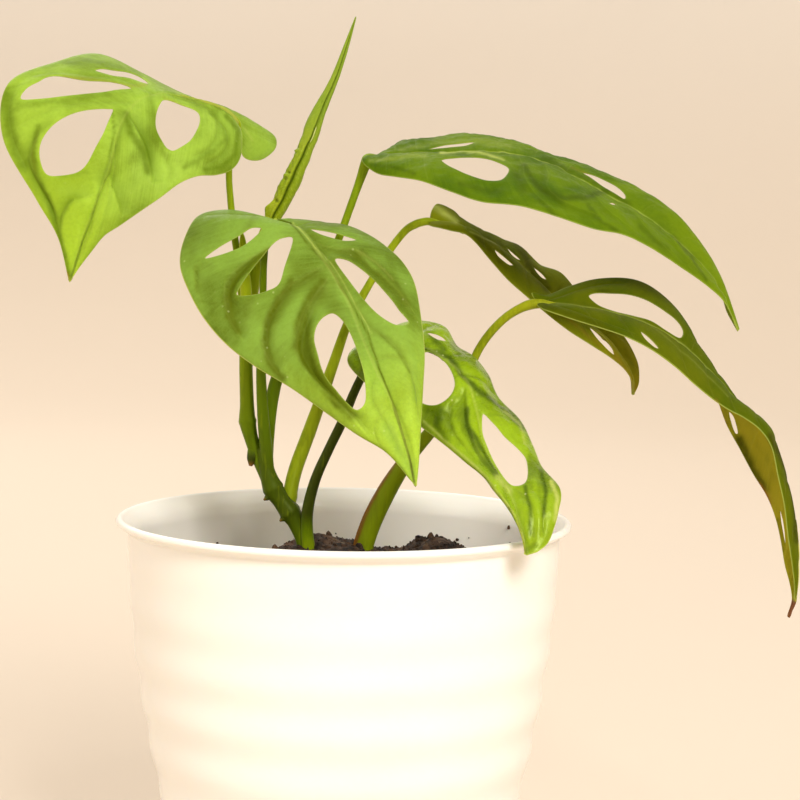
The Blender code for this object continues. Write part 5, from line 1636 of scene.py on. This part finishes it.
def rolled_leaf(finish):
    """The new leaf: two tight rolls with a groove between them, crumpled on its left near the foot."""
    around = SCROLL_SIDES
    last = len(ROLLED_LEAF) - 1
    path = spots([point[:3] for point in ROLLED_LEAF])
    t = np.linspace(0, last, last * SCROLL_STEPS + 1)
    centre = on_curve(path, t)
    width, groove_at, _ = on_curve([(point[3], point[4], 0.0) for point in ROLLED_LEAF], t).T
    ahead = on_curve(path, np.minimum(t + 0.05, last)) - on_curve(path, np.maximum(t - 0.05, 0.0))
    ahead /= np.linalg.norm(ahead, axis=1)[:, None]
    left = np.cross(ahead, (0.0, 1.0, 0.0))
    left /= np.linalg.norm(left, axis=1)[:, None]
    back = np.cross(left, ahead)
    share = np.linspace(-1, 1, around, endpoint=False)
    turn, at = np.meshgrid(pi * np.sign(share) * np.abs(share) ** 1.6, t)
    lower = 1 - smooth(at, 5.0, 9.5)
    reach = 1 - GROOVE_DEPTH * np.where(turn > 0, bell(turn, 0.11), bell(turn, 0.34))
    reach += 0.08 * bell(turn - 0.34, 0.18)
    reach *= (np.maximum(width, 0.3) / 2)[:, None]
    # Painted shade in the groove, and in the nicks where the curls dip inwards.
    shade = np.where(turn > 0, bell(turn, 0.12), bell(turn, 0.20))
    for along, beside_groove, height, long_way, round_way in CURLS:
        curl = height * np.exp(-((at - along) / long_way) ** 2 - ((turn - beside_groove) / round_way) ** 2)
        reach += curl
        shade = np.maximum(shade, np.clip(-curl * 0.9, 0.0, 0.7))
    crumple = np.array([noise.noise(Vector((j * 2.6, i * 2.2, 4.0)))
                        for j, i in zip(at.ravel(), turn.ravel())])
    crumple = crumple.reshape(at.shape) * (0.10 + 0.34 * lower * bell(turn - 0.9, 0.6))
    reach += crumple * np.minimum(1.0, (last - at) / 2)
    spin = turn - np.arcsin(np.clip(groove_at, -0.9, 0.9))[:, None]
    places = (centre[:, None] + left[:, None] * (np.sin(spin) * reach * MM)[..., None]
              - back[:, None] * (np.cos(spin) * reach * SCROLL_FLATNESS * MM)[..., None])
    rows = len(t)
    ends = np.stack((places[0].mean(axis=0) - ahead[0] * 0.0006,
                     places[-1].mean(axis=0) + ahead[-1] * 0.0006))
    faces = []
    for j in range(rows - 1):
        for i in range(around):
            k = (i + 1) % around
            faces.append((j * around + i, j * around + k, (j + 1) * around + k, (j + 1) * around + i))
    for i in range(around):
        k = (i + 1) % around
        faces.append((i, k, rows * around))
        faces.append(((rows - 1) * around + i, (rows - 1) * around + k, rows * around + 1))
    mesh = bpy.data.meshes.new("rolled_leaf_scroll")
    mesh.from_pydata(np.concatenate((places.reshape(-1, 3), ends)).tolist(), [], faces)
    pale = bell(turn + 0.27, 0.05) * smooth(at, 7.2, 7.9) * (1 - smooth(at, 8.8, 9.4))
    for key, values in (("groove", shade), ("pale", pale),
                        ("left_roll", smooth(turn, 0.0, 0.2) * smooth(-turn, -2.6, -2.0))):
        keep_number(mesh, key, np.concatenate((values.ravel(), (0.0, 0.0))))
    flow = np.stack((turn * 1.1, at * 4.0 + np.abs(turn) * 2.2, np.zeros_like(at)), axis=2).reshape(-1, 3)
    keep_vector(mesh, "flow", np.concatenate((flow, np.zeros((2, 3)))))
    soften(mesh)
    mesh.materials.append(finish)
    finish_piece(mended(add_object("rolled_leaf_scroll", mesh)), "leaf_rolled")


# Finishes other than leaf skin


def streak_group():
    """Stalk skin: streaks along the stalk, from fresh green through olive to a dry brown."""
    tree, given, result = new_group(
        "stalk_skin",
        [("Fresh", COLOUR, GREY), ("Shaded", COLOUR, GREY), ("Dark", COLOUR, GREY), ("Dry", COLOUR, GREY),
         ("Tone", NUMBER, 0.3), ("Dry Flank", NUMBER, 0.0), ("Streak Scale", NUMBER, 900.0)],
        [("Color", COLOUR), ("Roughness", NUMBER), ("Height", NUMBER)])
    where = object_place(tree)
    long_way = value_of(tree, "ShaderNodeMapping", {"Vector": where, "Scale": (1.0, 1.0, 0.06)})
    streaks = grain(tree, long_way, given["Streak Scale"], 3.0, 0.6)
    clouds = grain(tree, where, 70.0, 2.0, 0.5)
    skin = blend(tree, step_up(tree, given["Tone"], 0.0, 0.55), given["Fresh"], given["Shaded"])
    skin = blend(tree, step_up(tree, given["Tone"], 0.45, 0.80), skin, given["Dark"])
    mottle = plus(tree, times(tree, streaks, 0.6), times(tree, clouds, 0.5))
    skin = blend(tree, step_up(tree, mottle, 0.46, 0.76, 0.0, 0.45), skin, given["Dark"])
    skin = blend(tree, step_up(tree, streaks, 0.55, 0.75, 0.0, 0.30), skin, given["Fresh"])
    rusty = plus(tree, given["Dry Flank"], times(tree, streaks, 0.5))
    skin = blend(tree, step_up(tree, rusty, 0.42, 1.05, 0.0, 0.95), skin, DRY_FLANK_COLOUR)
    skin = blend(tree, step_up(tree, given["Tone"], 0.82, 0.98), skin, given["Dry"])
    tree.links.new(skin, result["Color"])
    tree.links.new(step_up(tree, mottle, 0.3, 0.8, 0.34, 0.56), result["Roughness"])
    tree.links.new(streaks, result["Height"])
    return tree


def stalk_material(name, group, fresh, shaded, dark, dry, dry_flank=False):
    """The skin of the stalks, which may be dry along the lower part of their left flank."""
    made, tree, shader = new_material(name)
    tone = kept_number(tree, "tone")
    skin = add_node(tree, "ShaderNodeGroup", node_tree=group)
    for key, value in (("Fresh", fresh), ("Shaded", shaded), ("Dark", dark), ("Dry", dry)):
        skin.inputs[key].default_value = (*value, 1.0)
    skin.inputs["Streak Scale"].default_value = 800.0
    tree.links.new(tone, skin.inputs["Tone"])
    if dry_flank:
        facing = add_node(tree, "ShaderNodeSeparateXYZ",
                          {0: tree.nodes.new("ShaderNodeTexCoord").outputs["Normal"]})
        place = add_node(tree, "ShaderNodeSeparateXYZ", {0: object_place(tree)})
        low = step_up(tree, place.outputs[2], 0.130, 0.160, 1.0, 0.0)
        flank = step_up(tree, facing.outputs[0], -0.95, -0.30, 1.0, 0.0)
        tree.links.new(times(tree, low, flank), skin.inputs["Dry Flank"])
    dress(tree, shader, skin.outputs["Color"], skin.outputs["Roughness"], skin.outputs["Height"],
          0.35, 0.0001, **living(0.16, 0.15, (0.6, 1.0, 0.2)))
    return made


def scroll_material():
    """The new leaf's thin bright skin, with painted shade in its groove and nicks, and paler on the roll
    beside it.
    """
    made, tree, shader = new_material("young_leaf_skin")
    where = object_place(tree)
    streaks = grain(tree, kept_flow(tree), 1.6, 3.0, 0.6)
    clouds = grain(tree, where, 150.0, 2.0, 0.5)
    left_roll = kept_number(tree, "left_roll")
    skin = blend(tree, left_roll, (0.220, 0.290, 0.006, 1.0), (0.310, 0.370, 0.014, 1.0))
    skin = blend(tree, step_up(tree, clouds, 0.40, 0.66, 0.0, 0.55), skin, (0.180, 0.270, 0.006, 1.0))
    skin = blend(tree, step_up(tree, streaks, 0.48, 0.72, 0.0, 0.40), skin, (0.480, 0.560, 0.080, 1.0))
    height = add_node(tree, "ShaderNodeSeparateXYZ", {0: where}).outputs[2]
    skin = blend(tree, step_up(tree, height, 0.215, 0.255, 0.0, 0.7), skin, (0.190, 0.290, 0.030, 1.0))
    # Painted shade in the groove and nicks.
    groove = kept_number(tree, "groove")
    skin = blend(tree, step_up(tree, groove, 0.15, 0.85, 0.0, 0.90), skin, (0.085, 0.130, 0.003, 1.0))
    pale = kept_number(tree, "pale")
    skin = blend(tree, step_up(tree, pale, 0.2, 0.7), skin, (0.66, 0.70, 0.28, 1.0))
    dress(tree, shader, skin, step_up(tree, streaks, 0.3, 0.7, 0.38, 0.54), streaks, 0.5, 0.00014,
          **living(0.16, 0.20, (0.8, 1.0, 0.15)))
    return made


def pot_material():
    """White moulded plastic with a soft gloss, cloudy thickness and a trace of dust."""
    made, tree, shader = new_material("white_moulded_plastic")
    where = object_place(tree)
    clouds = grain(tree, where, 14.0, 2.0, 0.5)
    dust = grain(tree, where, 1400.0, 3.0, 0.6)
    skin = blend(tree, step_up(tree, clouds, 0.35, 0.70), (0.92, 0.905, 0.87, 1.0),
                 (0.90, 0.875, 0.83, 1.0))
    skin = blend(tree, step_up(tree, dust, 0.60, 0.80, 0.0, 0.10), skin, (0.78, 0.72, 0.64, 1.0))
    dress(tree, shader, skin, step_up(tree, clouds, 0.35, 0.75, 0.20, 0.27), grain(tree, where, 60.0),
          0.10, 0.0002, IOR=1.48, Subsurface_Weight=0.15, Subsurface_Radius=(1.0, 0.8, 0.5),
          Subsurface_Scale=0.0020)
    return made


def soil_material():
    """Dark moist potting soil with reddish bark and pale fibres."""
    made, tree, shader = new_material("potting_soil")
    where = object_place(tree)
    lumps = grain(tree, where, 330.0, 4.0, 0.65)
    skin = blend(tree, step_up(tree, lumps, 0.35, 0.65), (0.008, 0.004, 0.002, 1.0),
                 (0.066, 0.029, 0.012, 1.0))
    bark = step_up(tree, grain(tree, where, 160.0, 1.0), 0.56, 0.66)
    skin = blend(tree, times(tree, bark, 0.75), skin, (0.110, 0.052, 0.022, 1.0))
    bits = add_node(tree, "ShaderNodeTexVoronoi", {"Vector": where, "Scale": 620.0}).outputs["Color"]
    bits = step_up(tree, bits, 0.90, 0.95, 0.0, 0.55)
    skin = blend(tree, bits, skin, (0.22, 0.14, 0.07, 1.0))
    dress(tree, shader, skin, step_up(tree, lumps, 0.3, 0.7, 0.95, 0.70),
          grain(tree, where, 1500.0, 4.0, 0.7), 0.8, 0.0005)
    return made


def floor_material():
    """A pale floor with painted shade near the ground and painted light up the wall."""
    made, tree, shader = new_material("pale_floor")
    where = object_place(tree)
    tint = blend(tree, grain(tree, where, 0.8), (0.77, 0.67, 0.56, 1.0), (0.74, 0.63, 0.52, 1.0))
    height = add_node(tree, "ShaderNodeSeparateXYZ", {0: where}).outputs[2]
    # Paler up the wall: painted light.
    tint = blend(tree, step_up(tree, height, 0.05, 1.1), tint, (0.98, 0.95, 0.90, 1.0))
    tree.links.new(tint, shader.inputs["Base Color"])
    shader.inputs["Roughness"].default_value = 0.9
    return made


def floor():
    """The floor that the pot stands on, which rises softly into a plain wall all round."""
    section = [(0.6, 0.0), (FLOOR_REACH, 0.0)]
    for i in range(1, 13):
        turn = pi / 2 * i / 12
        section.append((FLOOR_REACH + WALL_BEND * sin(turn), WALL_BEND * (1 - cos(turn))))
    section.append((FLOOR_REACH + WALL_BEND, WALL_TOP))
    shape = bmesh.new()
    last = shape.verts.new((0.0, 0.0, 0.0))
    for radius, height in section:
        last = add_ring(shape, last, radius, FLOOR_SIDES, lambda x, y: height)
    mesh = mesh_of(shape, "floor")
    soften(mesh)
    mesh.materials.append(floor_material())
    add_object("floor", mesh)


def lamp(name, place, target, size, power, colour):
    """A soft square lamp that faces a target."""
    data = bpy.data.lights.new(name, "AREA")
    data.size = size
    data.energy = power
    data.color = colour
    made = add_object(name, data)
    made.location = place
    made.rotation_euler = (Vector(target) - Vector(place)).to_track_quat("-Z", "Y").to_euler()


def studio():
    """Soft warm daylight: a window in front to the right, weaker light from the left and behind."""
    for name, settings in LAMPS.items():
        lamp(name, *settings)
    world = bpy.data.worlds.new("surround")
    world.use_nodes = True
    sky = world.node_tree.nodes["Background"]
    sky.inputs["Color"].default_value = SURROUND_COLOUR
    sky.inputs["Strength"].default_value = SURROUND_STRENGTH
    bpy.context.scene.world = world
    bpy.context.scene.view_settings.view_transform = "Standard"


# The whole plant

photo_camera()
leaf_group = leaf_skin_group()
for blade_name, blade_data in BLADES.items():
    blade(blade_name, blade_data, leaf_material(blade_name + "_skin", SKINS[blade_name], leaf_group))

stalk_tree = stalk_growth()
stalk_group = streak_group()
vine_skin = stalk_material("vine_skin", stalk_group, fresh=(0.40, 0.50, 0.012),
                           shaded=(0.135, 0.220, 0.002), dark=(0.045, 0.062, 0.004),
                           dry=(0.23, 0.11, 0.025))
stalks("vine_stalks", "vine", VINE_STEMS, stalk_tree, vine_skin)
right_skin = stalk_material("right_stalk_skin", stalk_group, fresh=(0.34, 0.35, 0.010),
                            shaded=(0.190, 0.280, 0.002), dark=(0.070, 0.090, 0.006),
                            dry=(0.23, 0.09, 0.018), dry_flank=True)
stalks("right_stalk", "right_stem", RIGHT_STEMS, stalk_tree, right_skin)
rolled_leaf(scroll_material())
pot(pot_material())
soil(soil_material())
floor()
studio()
